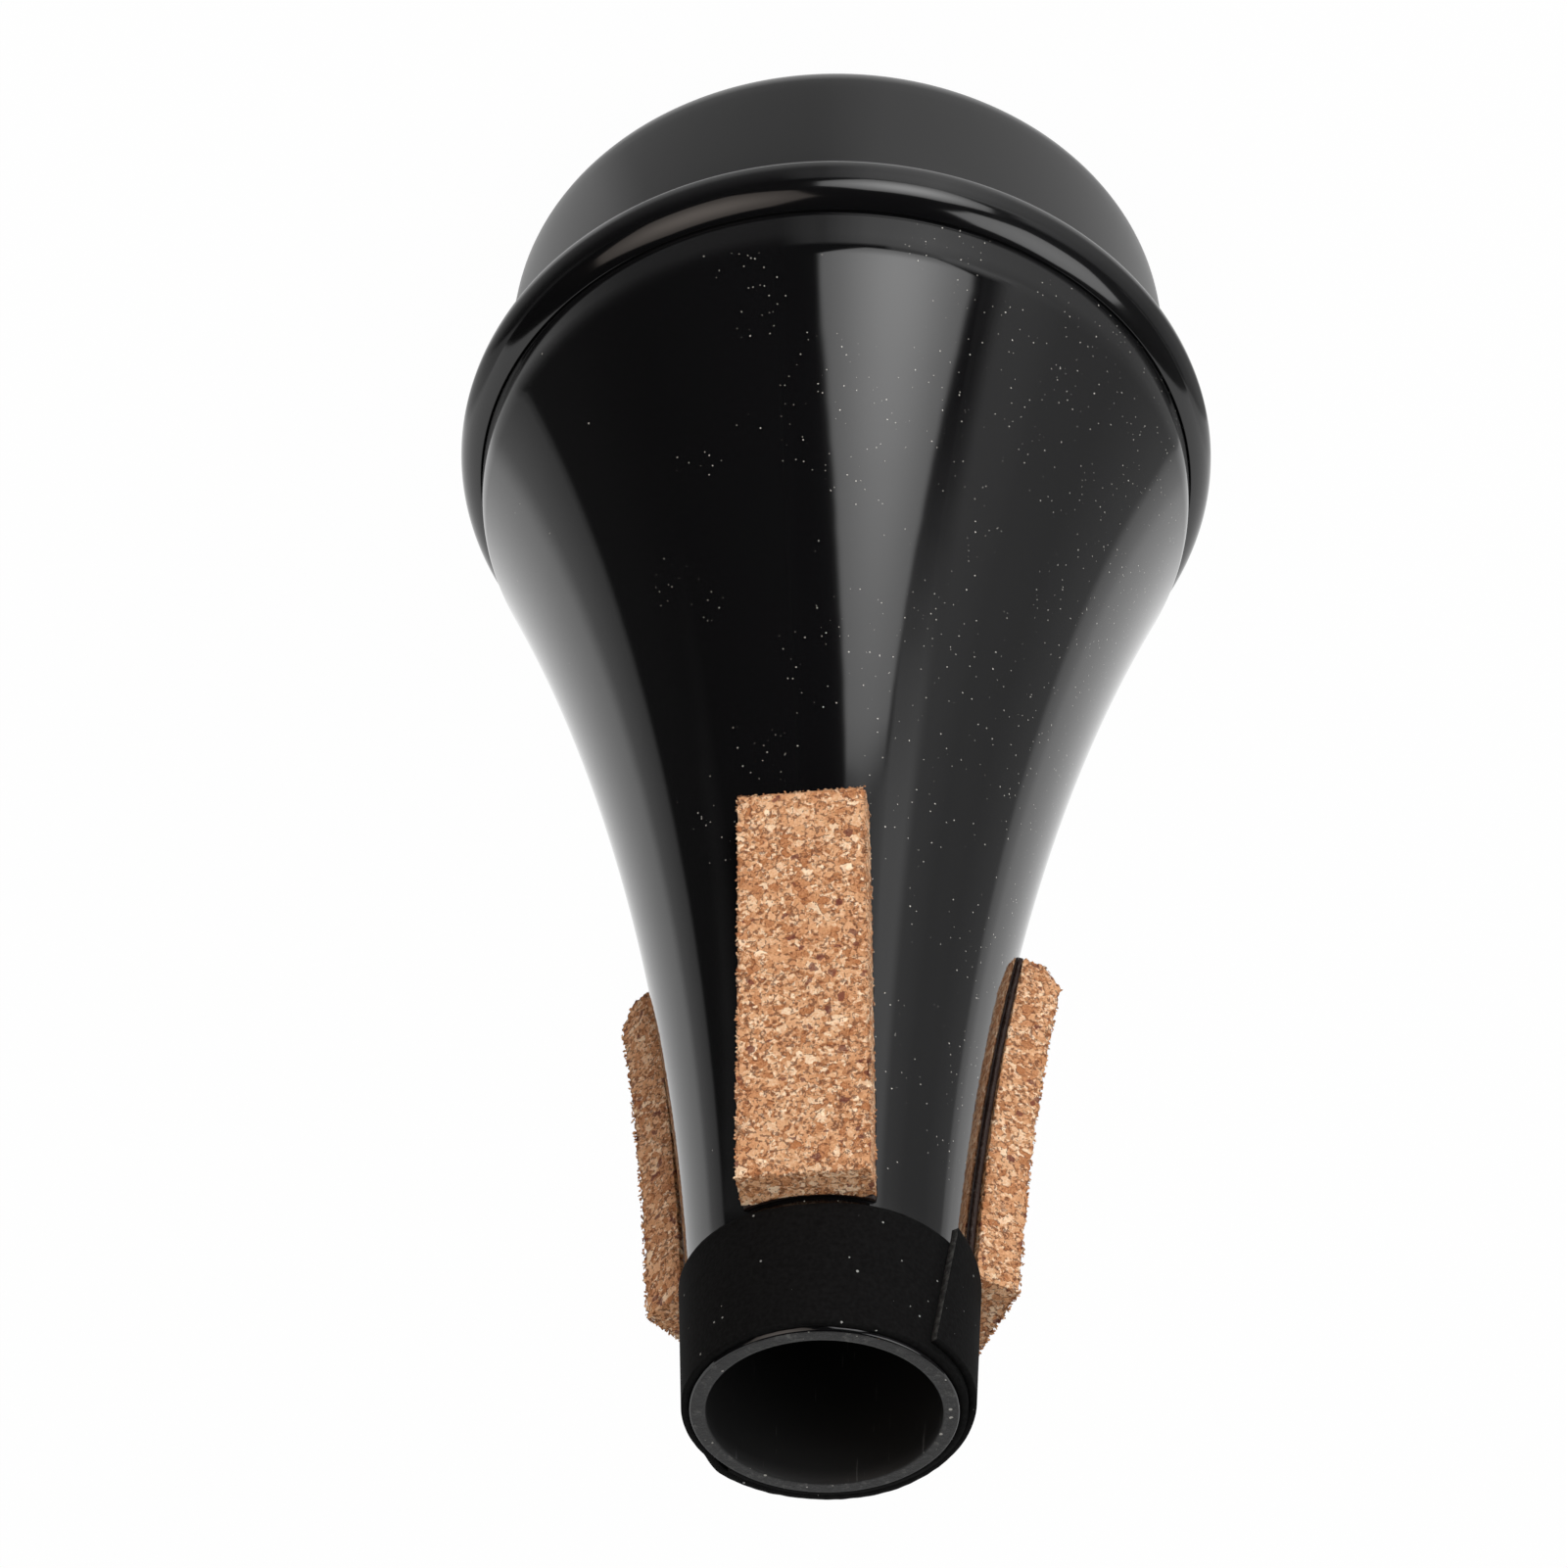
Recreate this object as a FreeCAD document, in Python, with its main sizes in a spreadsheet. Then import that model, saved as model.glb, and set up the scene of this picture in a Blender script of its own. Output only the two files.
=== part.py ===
import FreeCAD, Part
import math
import os

import Sketcher

# A trumpet mute that stands on the flat face of its end cap, neck up.
# Millimetres. The origin is the middle of that flat face, and +Z runs up the axis to the mouth of the neck.

os.makedirs("parts", exist_ok=True)
doc = FreeCAD.newDocument("Mute")

# Driving sizes, one cell each

SIZES = {
    # flared shell, from the mouth of its neck down to the seam with the cap
    "overall_length": 165.0,
    "shell_wall": 1.6,
    "mouth_radius": 12.85,
    "neck_taper": 0.75,
    "neck_length": 14.9,
    "seam_radius": 40.8,
    "seam_height": 31.25,
    "shoulder_radius": 10.0,
    "belly_rise": 3.5,
    "shoulder_rise": 7.4,
    # joint between shell and cap
    "spigot_length": 6.0,
    "spigot_wall": 1.5,
    "collar_wall": 1.35,
    "cement_gap": 0.25,
    "cement_setback": 0.5,
    "seam_gap": 0.15,
    "seam_edge_radius": 0.25,
    # end cap, whose radii are stated against the seam
    "rim_ledge": 0.2,
    "bead_proud": 3.57,
    "bead_radius": 4.72,
    "bead_drop": 3.17,
    "lip_radius": 1.0,
    "cap_base_inset": 1.1,
    "cap_top_proud": 0.2,
    "cap_edge_radius": 4.8,
    "cap_wall": 3.0,
    "cap_floor": 2.0,
    "spigot_ledge": 2.0,
    # cork strips, whose length is measured along the axis
    "cork_width": 13.1,
    "cork_length": 44.5,
    "cork_thickness": 4.66,
    "cork_sink": 0.5,
    "side_strip_bevel": 2.2,
    "front_strip_bevel": 0.5,
    "front_strip_gap": 0.9,
    "right_strip_gap": 2.0,
    "left_strip_gap": 0.4,
    "film_clearance": 0.22,
    "glue_thickness": 0.18,
    "seat_clearance": 0.1,
    # tape round the neck
    "tape_thickness": 0.8,
    "tape_setback": 0.3,
}

# Angles in degrees, seen from above

FULL_TURN = 360.0
FRONT_AZIMUTH = -90.0
RIGHT_STRIP_ANGLE = 124.0
LEFT_STRIP_ANGLE = -117.5
STRIP_ANGLES = {"front": 0, "right": RIGHT_STRIP_ANGLE, "left": LEFT_STRIP_ANGLE}
GLUE_ANGLE = 36.0
TAPE_TAIL_TURN = -57.0
TAPE_LAP_ANGLE = 150.0

ALONG_AXIS = FreeCAD.Vector(0, 0, 1)

sheet = doc.addObject("Spreadsheet::Sheet", "Sizes")
for row, (name, value) in enumerate(SIZES.items(), start=1):
    sheet.set(f"A{row}", name)
    sheet.set(f"B{row}", str(value))
    sheet.setAlias(f"B{row}", name)
doc.recompute()


def size(name):
    """A driving size, read from its cell."""
    return float(getattr(sheet, name))


def cell(expression):
    """The same words with each size's name replaced by its cell, for an expression."""
    return " ".join(f"Sizes.{word}" if word in SIZES else word for word in expression.split())


def polar(centre, radius, angle):
    """A point of a circle in the plane of radius and height."""
    return (centre[0] + radius * math.cos(angle), centre[1] + radius * math.sin(angle))


# Sketches in the plane of radius and height

ORIGIN = (-1, 1)
AXIS_LINE = -2
START, END, CENTRE = 1, 2, 3


class Outline:
    """A sketch on a body's own XZ plane: x is the radius and y is the height."""

    def __init__(self, body, name):
        self.sketch = body.newObject("Sketcher::SketchObject", name)
        planes = [item for item in body.Origin.OriginFeatures if item.Role == "XZ_Plane"]
        self.sketch.AttachmentSupport = [(planes[0], "")]
        self.sketch.MapMode = "FlatFace"

    def line(self, start, end, guide=False):
        segment = Part.LineSegment(FreeCAD.Vector(*start, 0), FreeCAD.Vector(*end, 0))
        return self.sketch.addGeometry(segment, guide)

    def arc(self, centre, radius, low, high, guide=False):
        circle = Part.Circle(FreeCAD.Vector(*centre, 0), ALONG_AXIS, radius)
        return self.sketch.addGeometry(Part.ArcOfCircle(circle, low, high), guide)

    def point(self, geometry, place):
        spot = self.sketch.getPoint(geometry, place)
        return (spot.x, spot.y)

    def tie(self, kind, *places):
        self.sketch.addConstraint(Sketcher.Constraint(kind, *places))

    def bind(self, kind, places, expression, drawn):
        index = self.sketch.addConstraint(Sketcher.Constraint(kind, *places, drawn))
        self.sketch.setExpression(f"Constraints[{index}]", cell(expression))

    def across(self, expression, first, second):
        """Radial distance from one point to another, outwards."""
        drawn = self.point(*second)[0] - self.point(*first)[0]
        self.bind("DistanceX", (*first, *second), expression, drawn)

    def up(self, expression, first, second):
        """Distance in height from one point to another, upwards."""
        drawn = self.point(*second)[1] - self.point(*first)[1]
        self.bind("DistanceY", (*first, *second), expression, drawn)

    def radius(self, expression, geometry):
        """Radius of an arc."""
        self.bind("Radius", (geometry,), expression, self.sketch.Geometry[geometry].Radius)

    def chain(self, points, first, last):
        """Straight runs through the points, joined to the end of one piece and the start of another."""
        runs = [self.line(a, b) for a, b in zip(points, points[1:])]
        self.tie("Coincident", *first, runs[0], START)
        for before, after in zip(runs, runs[1:]):
            self.tie("Coincident", before, END, after, START)
        self.tie("Coincident", runs[-1], END, *last)
        return runs


# The shell's outside: a round shoulder that curls in at the seam, the long flare and the neck

NECK_ROOT_HEIGHT = "overall_length - neck_length"
NECK_ROOT_RADIUS = "mouth_radius + neck_taper"
SPIGOT_BOTTOM = "seam_height - spigot_length"
SPIGOT_RADIUS = "seam_radius - collar_wall - cement_gap"


def flare_places():
    """Centres, radii and turns of the shell's arcs, worked out from the driving sizes."""
    radius = size("shoulder_radius")
    seam_turn = -math.asin(size("belly_rise") / radius)
    shoulder_turn = math.asin((size("shoulder_rise") - size("belly_rise")) / radius)
    seam = (size("seam_radius"), size("seam_height"))
    shoulder_centre = (seam[0] - radius * math.cos(seam_turn), seam[1] + size("belly_rise"))
    shoulder_top = polar(shoulder_centre, radius, shoulder_turn)
    neck_root = (size("mouth_radius") + size("neck_taper"), size("overall_length") - size("neck_length"))
    chord_turn = math.atan2(shoulder_top[0] - neck_root[0], neck_root[1] - shoulder_top[1])
    neck_turn = chord_turn + chord_turn - shoulder_turn
    flare_radius = (neck_root[1] - shoulder_top[1]) / (math.sin(shoulder_turn) - math.sin(neck_turn))
    return {
        "shoulder": (shoulder_centre, radius, seam_turn, shoulder_turn),
        "flare": (polar(shoulder_top, flare_radius, shoulder_turn), flare_radius, neck_turn),
        "neck_root": neck_root,
        "mouth": (size("mouth_radius"), size("overall_length")),
    }


def draw_flare(outline, guide):
    """The outer line of the shell, from the seam up to the mouth; returns its three pieces."""
    places = flare_places()
    shoulder_centre, shoulder_radius, seam_turn, shoulder_turn = places["shoulder"]
    flare_centre, flare_radius, neck_turn = places["flare"]
    shoulder = outline.arc(shoulder_centre, shoulder_radius, seam_turn, shoulder_turn, guide)
    flare = outline.arc(flare_centre, flare_radius, math.pi + neck_turn, math.pi + shoulder_turn, guide)
    neck = outline.line(places["neck_root"], places["mouth"], guide)
    outline.tie("Tangent", shoulder, END, flare, END)
    outline.tie("Coincident", flare, START, neck, START)
    outline.across("seam_radius", ORIGIN, (shoulder, START))
    outline.up("seam_height", ORIGIN, (shoulder, START))
    outline.up("belly_rise", (shoulder, START), (shoulder, CENTRE))
    outline.up("shoulder_rise", (shoulder, START), (shoulder, END))
    outline.radius("shoulder_radius", shoulder)
    outline.across(NECK_ROOT_RADIUS, ORIGIN, (neck, START))
    outline.up(NECK_ROOT_HEIGHT, ORIGIN, (neck, START))
    outline.across("mouth_radius", ORIGIN, (neck, END))
    outline.up("overall_length", ORIGIN, (neck, END))
    return shoulder, flare, neck


def flare_angle(height, radius):
    """The turn at which an arc about the flare's centre passes a height."""
    centre = flare_places()["flare"][0]
    return math.pi + math.asin((centre[1] - height) / radius)


def parallel_to_flare(outline, flare, offset, low, high):
    """An arc beside the flare; the offset is a sign, 1 towards the axis, then its words and its value."""
    sign, expression, value = offset
    centre, flare_radius, neck_turn = flare_places()["flare"]
    radius = flare_radius + sign * value
    arc = outline.arc(centre, radius, flare_angle(high, radius), flare_angle(low, radius))
    spoke = outline.line(flare_places()["neck_root"], polar(centre, -radius, neck_turn), True)
    outline.tie("Coincident", arc, CENTRE, flare, CENTRE)
    outline.tie("Coincident", spoke, START, flare, START)
    outline.tie("PointOnObject", flare, CENTRE, spoke)
    outline.tie("PointOnObject", spoke, END, arc)
    outline.bind("Distance", (spoke,), expression, value)
    return arc


# Bodies and features

def new_body(label):
    body = doc.addObject("PartDesign::Body", label)
    body.Label = label
    return body


def turn_body(body, azimuth):
    body.Placement = FreeCAD.Placement(FreeCAD.Vector(0, 0, 0), FreeCAD.Rotation(ALONG_AXIS, azimuth))


def revolve(body, name, outline, angle=FULL_TURN, centred=False, kind="PartDesign::Revolution"):
    feature = body.newObject(kind, name)
    feature.Profile = outline.sketch
    feature.ReferenceAxis = (outline.sketch, ["V_Axis"])
    feature.Angle = angle
    feature.Midplane = centred
    doc.recompute()
    return feature


def round_edges(body, name, base, radius_name, wanted):
    """A fillet on the circular edges whose (radius, height) is in the wanted list."""
    names = []
    for index, edge in enumerate(base.Shape.Edges, start=1):
        curve = edge.Curve
        if curve.TypeId != "Part::GeomCircle":
            continue
        for radius, height in wanted:
            same_radius = math.isclose(curve.Radius, radius, rel_tol=1e-6)
            same_height = math.isclose(curve.Center.z, height, rel_tol=1e-6)
            if same_radius and same_height:
                names.append(f"Edge{index}")
    feature = body.newObject("PartDesign::Fillet", name)
    feature.Base = (base, names)
    feature.setExpression("Radius", cell(radius_name))
    doc.recompute()
    return feature


# Flared shell with its neck and the spigot that goes into the cap

def make_body_shell():
    body = new_body("body_shell")
    outline = Outline(body, "ShellOutline")
    shoulder, flare, neck = draw_flare(outline, False)
    places = flare_places()
    wall = size("shell_wall")
    flare_centre, flare_radius = places["flare"][:2]
    spigot_outer = size("seam_radius") - size("collar_wall") - size("cement_gap")
    spigot_inner = spigot_outer - size("spigot_wall")
    spigot_bottom = size("seam_height") - size("spigot_length")

    # The inside follows the flare at one wall's distance, down to the spigot's own bore
    inner_radius = flare_radius + wall
    bore_turn = math.acos((flare_centre[0] - spigot_inner) / inner_radius)
    neck_angle = flare_angle(places["neck_root"][1], inner_radius)
    inner_flare = outline.arc(flare_centre, inner_radius, neck_angle, math.pi + bore_turn)
    spoke = outline.line(places["neck_root"], polar(flare_centre, -inner_radius, places["flare"][2]), True)
    outline.tie("Coincident", inner_flare, CENTRE, flare, CENTRE)
    outline.tie("Coincident", spoke, START, flare, START)
    outline.tie("PointOnObject", flare, CENTRE, spoke)
    outline.tie("PointOnObject", spoke, END, inner_flare)
    outline.bind("Distance", (spoke,), "shell_wall", wall)
    outline.up(NECK_ROOT_HEIGHT, ORIGIN, (inner_flare, START))

    # Rim of the mouth and bore of the neck
    mouth = places["mouth"]
    bore_points = [mouth, (mouth[0] - wall, mouth[1]), polar(flare_centre, inner_radius, neck_angle)]
    rim, bore = outline.chain(bore_points, (neck, END), (inner_flare, START))
    outline.tie("Horizontal", rim)
    outline.across("shell_wall", (rim, END), (rim, START))

    # Spigot, whose step rests over the rim of the collar
    bore_foot = polar(flare_centre, -inner_radius, bore_turn)
    spigot_points = [
        bore_foot,
        (spigot_inner, spigot_bottom),
        (spigot_outer, spigot_bottom),
        (spigot_outer, size("seam_height")),
        (size("seam_radius"), size("seam_height")),
    ]
    inner, foot, outer, step = outline.chain(spigot_points, (inner_flare, END), (shoulder, START))
    outline.tie("Vertical", inner)
    outline.tie("Horizontal", foot)
    outline.tie("Vertical", outer)
    outline.tie("Horizontal", step)
    outline.up(SPIGOT_BOTTOM, ORIGIN, (foot, START))
    outline.across("spigot_wall", (foot, START), (foot, END))
    outline.across(SPIGOT_RADIUS, ORIGIN, (foot, END))

    shell = revolve(body, "Shell", outline)
    seam_edge = [(size("seam_radius"), size("seam_height"))]
    round_edges(body, "SeamEdge", shell, "seam_edge_radius", seam_edge)
    return body


# End cap: floor, side wall, round bead and the collar that takes the spigot

def make_end_cap():
    body = new_body("end_cap")
    outline = Outline(body, "CapOutline")
    seam_radius = size("seam_radius")
    edge = size("cap_edge_radius")
    base_radius = seam_radius - size("cap_base_inset")
    top_radius = seam_radius + size("cap_top_proud")
    rim_radius = seam_radius + size("rim_ledge")
    rim_height = size("seam_height") - size("seam_gap")
    ledge = size("seam_height") - size("spigot_length")
    collar_bore = seam_radius - size("collar_wall")
    bead = size("bead_radius")
    lip = size("lip_radius")
    bead_centre = (seam_radius + size("bead_proud") - bead, size("seam_height") - size("bead_drop"))

    # Where the side wall runs into the bead, and how far the wall leans
    bead_foot_turn = -math.acos((top_radius - bead_centre[0]) / bead)
    bead_foot = polar(bead_centre, bead, bead_foot_turn)
    lean = math.atan2(base_radius - top_radius, bead_foot[1] - edge)

    # The bead rounds over on a smaller lip, which runs down into the groove beside the rim
    reach = bead - lip
    away = (bead_centre[0] - rim_radius, bead_centre[1] - rim_height)
    span = math.hypot(*away)
    lip_swing = math.acos((lip**2 - reach**2 - span**2) / (2 * reach * span))
    lip_turn = math.atan2(away[1], away[0]) + lip_swing
    lip_centre = polar(bead_centre, reach, lip_turn)
    lip_end = math.atan2(rim_height - lip_centre[1], rim_radius - lip_centre[0])

    base_line = outline.line((0, 0), (base_radius - edge * math.cos(lean), 0))
    edge_centre = (base_radius - edge * math.cos(lean), edge)
    edge_arc = outline.arc(edge_centre, edge, -math.pi / 2, lean)
    wall_line = outline.line(polar(edge_centre, edge, lean), bead_foot)
    bead_arc = outline.arc(bead_centre, bead, bead_foot_turn, lip_turn)
    lip_arc = outline.arc(lip_centre, lip, lip_turn, lip_end)
    outline.tie("Coincident", base_line, START, *ORIGIN)
    outline.tie("Horizontal", base_line)
    outline.tie("Tangent", base_line, END, edge_arc, START)
    outline.radius("cap_edge_radius", edge_arc)
    outline.tie("Tangent", edge_arc, END, wall_line, START)
    outline.across("seam_radius - cap_base_inset", ORIGIN, (wall_line, START))
    outline.across("seam_radius + cap_top_proud", ORIGIN, (wall_line, END))
    outline.tie("Coincident", wall_line, END, bead_arc, START)
    outline.across("seam_radius + bead_proud - bead_radius", ORIGIN, (bead_arc, CENTRE))
    outline.up("seam_height - bead_drop", ORIGIN, (bead_arc, CENTRE))
    outline.radius("bead_radius", bead_arc)
    outline.tie("Tangent", bead_arc, END, lip_arc, START)
    outline.radius("lip_radius", lip_arc)
    outline.up("seam_height - seam_gap", ORIGIN, (lip_arc, END))
    outline.across("seam_radius + rim_ledge", ORIGIN, (lip_arc, END))

    # Rim, collar bore, ledge for the spigot, inner wall and floor
    inside_points = [
        (rim_radius, rim_height),
        (collar_bore, rim_height),
        (collar_bore, ledge),
        (collar_bore - size("spigot_ledge"), ledge),
        (base_radius - size("cap_wall"), size("cap_floor")),
        (0, size("cap_floor")),
        (0, 0),
    ]
    inside = outline.chain(inside_points, (lip_arc, END), (base_line, START))
    rim, bore, ledge_line, inner_wall, floor, axis = inside
    outline.tie("Horizontal", rim)
    outline.tie("Vertical", bore)
    outline.tie("Horizontal", ledge_line)
    outline.tie("Horizontal", floor)
    outline.tie("PointOnObject", floor, END, AXIS_LINE)
    outline.across("seam_radius - collar_wall", ORIGIN, (rim, END))
    outline.up(SPIGOT_BOTTOM, ORIGIN, (bore, END))
    outline.across("spigot_ledge", (ledge_line, END), (ledge_line, START))
    outline.across("seam_radius - cap_base_inset - cap_wall", ORIGIN, (inner_wall, END))
    outline.up("cap_floor", ORIGIN, (inner_wall, END))
    revolve(body, "Cup", outline)
    return body


# Ring of cement between spigot and collar

def make_cap_cement():
    body = new_body("cap_cement")
    outline = Outline(body, "CementOutline")
    inner = size("seam_radius") - size("collar_wall") - size("cement_gap")
    outer = inner + size("cement_gap")
    low = size("seam_height") - size("spigot_length")
    high = size("seam_height") - size("seam_gap") - size("cement_setback")
    corners = [(inner, low), (outer, low), (outer, high), (inner, high)]
    sides = [outline.line(a, b) for a, b in zip(corners, corners[1:] + corners[:1])]
    for before, after in zip(sides, sides[1:] + sides[:1]):
        outline.tie("Coincident", before, END, after, START)
    for flat, upright in (sides[:2], sides[2:]):
        outline.tie("Horizontal", flat)
        outline.tie("Vertical", upright)
    outline.across(SPIGOT_RADIUS, ORIGIN, (sides[0], START))
    outline.across("cement_gap", (sides[0], START), (sides[0], END))
    outline.up(SPIGOT_BOTTOM, ORIGIN, (sides[0], START))
    outline.up("seam_height - seam_gap - cement_setback", ORIGIN, (sides[2], START))
    revolve(body, "Ring", outline)
    return body


# Cork strips and the film of glue under each

def strip_span(side):
    """Lowest and highest place of a strip, as expressions and as heights."""
    top = f"{NECK_ROOT_HEIGHT} - {side}_strip_gap"
    high = size("overall_length") - size("neck_length") - size(f"{side}_strip_gap")
    return f"{top} - cork_length", top, high - size("cork_length"), high


def make_cork_strip(side, bevel_name):
    """A strip whose front and back follow the flare, flat across, its back hollowed to seat on the glue."""
    body = new_body(f"cork_strip_{side}")
    low_words, high_words, low, high = strip_span(side)
    outline = Outline(body, "StripOutline")
    flare = draw_flare(outline, True)[1]
    sink = (1, "cork_sink", size("cork_sink"))
    proud = size("cork_thickness") - size("cork_sink")
    back = parallel_to_flare(outline, flare, sink, low, high)
    front = parallel_to_flare(outline, flare, (-1, "cork_thickness - cork_sink", proud), low, high)
    wide_end = outline.line(outline.point(back, END), outline.point(front, END))
    neck_end = outline.line(outline.point(back, START), outline.point(front, START))
    for end, place in ((wide_end, END), (neck_end, START)):
        outline.tie("Coincident", end, START, back, place)
        outline.tie("Coincident", end, END, front, place)
        outline.tie("PointOnObject", flare, CENTRE, end)
    outline.up(low_words, ORIGIN, (back, END))
    outline.up(high_words, ORIGIN, (back, START))

    strip = body.newObject("PartDesign::Pad", "Strip")
    strip.Profile = outline.sketch
    strip.Midplane = True
    strip.setExpression("Length", cell("cork_width"))
    doc.recompute()
    before = strip.Shape.Volume

    seat = Outline(body, "SeatOutline")
    seat_flare = draw_flare(seat, True)[1]
    over = size("cork_thickness")
    lift = size("film_clearance") + size("glue_thickness") + size("seat_clearance")
    film = (-1, "film_clearance + glue_thickness + seat_clearance", lift)
    edge = parallel_to_flare(seat, seat_flare, film, low - over, high + over)
    high_point, low_point = seat.point(edge, START), seat.point(edge, END)
    corners = [low_point, (0, low_point[1]), (0, high_point[1]), high_point]
    base, axis, top = seat.chain(corners, (edge, END), (edge, START))
    seat.tie("Horizontal", base)
    seat.tie("Horizontal", top)
    seat.tie("PointOnObject", base, END, AXIS_LINE)
    seat.tie("PointOnObject", top, START, AXIS_LINE)
    seat.up(f"{low_words} - cork_thickness", ORIGIN, (base, END))
    seat.up(f"{high_words} + cork_thickness", ORIGIN, (top, START))
    hollow = revolve(body, "Seat", seat, kind="PartDesign::Groove")
    if hollow.Shape.Volume >= before:
        raise RuntimeError(f"the seat of {body.Label} cuts nothing")

    # Bevel on the outer edge of the wide end, which is the straight edge furthest from the axis
    straight = [
        (edge.CenterOfMass.x, f"Edge{index}")
        for index, edge in enumerate(hollow.Shape.Edges, start=1)
        if edge.Curve.TypeId == "Part::GeomLine"
    ]
    bevel = body.newObject("PartDesign::Chamfer", "Bevel")
    bevel.Base = (hollow, [max(straight)[1]])
    bevel.setExpression("Size", cell(bevel_name))
    doc.recompute()
    turn_body(body, FRONT_AZIMUTH + STRIP_ANGLES[side])
    return body


def make_cork_glue(side):
    """A film just off the flare, as long as the strip and narrower than it."""
    body = new_body(f"cork_glue_{side}")
    low_words, high_words, low, high = strip_span(side)
    outline = Outline(body, "FilmOutline")
    flare = draw_flare(outline, True)[1]
    under = size("film_clearance")
    over = under + size("glue_thickness")
    inner = parallel_to_flare(outline, flare, (-1, "film_clearance", under), low, high)
    outer = parallel_to_flare(outline, flare, (-1, "film_clearance + glue_thickness", over), low, high)
    for place, words in ((START, high_words), (END, low_words)):
        end = outline.line(outline.point(inner, place), outline.point(outer, place))
        outline.tie("Coincident", end, START, inner, place)
        outline.tie("Coincident", end, END, outer, place)
        outline.tie("Horizontal", end)
        outline.up(words, ORIGIN, (inner, place))
    revolve(body, "Film", outline, angle=GLUE_ANGLE, centred=True)
    turn_body(body, FRONT_AZIMUTH + STRIP_ANGLES[side])
    return body


# Tape round the neck: one full turn, and a second layer where its ends lap

def make_neck_wrap():
    body = new_body("neck_wrap")
    turns = (("FirstTurn", 0, FULL_TURN), ("Lap", 1, TAPE_LAP_ANGLE))
    for name, layers_below, angle in turns:
        outline = Outline(body, f"{name}Outline")
        neck = draw_flare(outline, True)[2]
        thickness = size("tape_thickness")
        root, mouth = outline.point(neck, START), outline.point(neck, END)
        top_share = 1 - size("tape_setback") / size("neck_length")
        top = (root[0] + (mouth[0] - root[0]) * top_share, root[1] + (mouth[1] - root[1]) * top_share)
        below = thickness * layers_below
        corners = [
            (root[0] + below, root[1]),
            (root[0] + below + thickness, root[1]),
            (top[0] + below + thickness, top[1]),
            (top[0] + below, top[1]),
        ]
        foot, outer, lip, inner = [outline.line(a, b) for a, b in zip(corners, corners[1:] + corners[:1])]
        for before, after in ((foot, outer), (outer, lip), (lip, inner), (inner, foot)):
            outline.tie("Coincident", before, END, after, START)
        outline.tie("Horizontal", foot)
        outline.tie("Horizontal", lip)
        outline.tie("Parallel", inner, neck)
        outline.across("tape_thickness", (foot, START), (foot, END))
        outline.across("tape_thickness", (lip, END), (lip, START))
        outline.up(NECK_ROOT_HEIGHT, ORIGIN, (foot, START))
        outline.up("overall_length - tape_setback", ORIGIN, (lip, START))
        reach = NECK_ROOT_RADIUS + " + tape_thickness" * layers_below
        outline.across(reach, ORIGIN, (foot, START))
        revolve(body, name, outline, angle=angle)
    turn_body(body, FRONT_AZIMUTH + TAPE_TAIL_TURN - TAPE_LAP_ANGLE)
    return body


pieces = [make_body_shell(), make_end_cap(), make_cap_cement(), make_neck_wrap()]
for side_name in STRIP_ANGLES:
    bevel_size = "front_strip_bevel" if side_name == "front" else "side_strip_bevel"
    pieces.append(make_cork_strip(side_name, bevel_size))
    pieces.append(make_cork_glue(side_name))

doc.recompute()

# Every object is sound before anything is written

for item in doc.Objects:
    if "Invalid" in item.State or "Error" in item.State:
        raise RuntimeError(f"{item.Label} did not compute: {item.State}")
for piece in pieces:
    if piece.Shape.isNull() or not piece.Shape.isValid() or len(piece.Shape.Solids) != 1:
        raise RuntimeError(f"{piece.Label} is not one sound solid")

for piece in pieces:
    piece.Shape.exportStep(f"parts/{piece.Label}.step")
    box = piece.Shape.BoundBox
    print(f"{piece.Label}: volume {piece.Shape.Volume:.1f}, height {box.ZMin:.2f} to {box.ZMax:.2f}")
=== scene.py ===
# %% [markdown]
# # A trumpet practice mute
#
# The mute is a hollow flared shell of black ABS with a cap cemented into its wide end, three strips of
# cork that wedge it in a trumpet's bell, and a turn and a half of cloth tape round its neck. It stands on
# its cap, neck up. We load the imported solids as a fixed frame, then make each visible piece again as a
# smooth mesh in the same place, because a solid's own mesh is loose triangles and shows facets in a gloss.

# %% Load the frame
import math
import random

import bmesh
import bpy
from mathutils import Matrix, Vector, noise


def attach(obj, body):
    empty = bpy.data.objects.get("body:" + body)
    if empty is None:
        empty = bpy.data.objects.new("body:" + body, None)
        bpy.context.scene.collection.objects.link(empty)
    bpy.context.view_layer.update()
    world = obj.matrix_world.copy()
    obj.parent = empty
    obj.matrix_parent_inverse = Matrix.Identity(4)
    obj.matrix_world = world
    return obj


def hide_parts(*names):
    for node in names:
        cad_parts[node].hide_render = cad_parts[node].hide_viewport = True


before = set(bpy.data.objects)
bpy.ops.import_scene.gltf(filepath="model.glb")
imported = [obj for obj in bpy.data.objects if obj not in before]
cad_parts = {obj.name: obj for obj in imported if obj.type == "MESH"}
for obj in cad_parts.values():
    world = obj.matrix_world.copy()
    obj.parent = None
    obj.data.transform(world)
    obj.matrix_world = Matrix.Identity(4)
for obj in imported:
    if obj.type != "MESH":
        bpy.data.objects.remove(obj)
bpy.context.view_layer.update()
print("solids:", sorted(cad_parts))

# %% [markdown]
# ## Units, colours and nodes
#
# Blender works in metres, but a mute is easier to think of in millimetres. Pieces are drawn in millimetres
# and made small at the end. Colours are written as the hex values that a picture editor shows; Blender
# wants them linear, so one function turns them. One more function adds a shader node, sets it and links it.

# %% Small helpers
MM = 0.001


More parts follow.
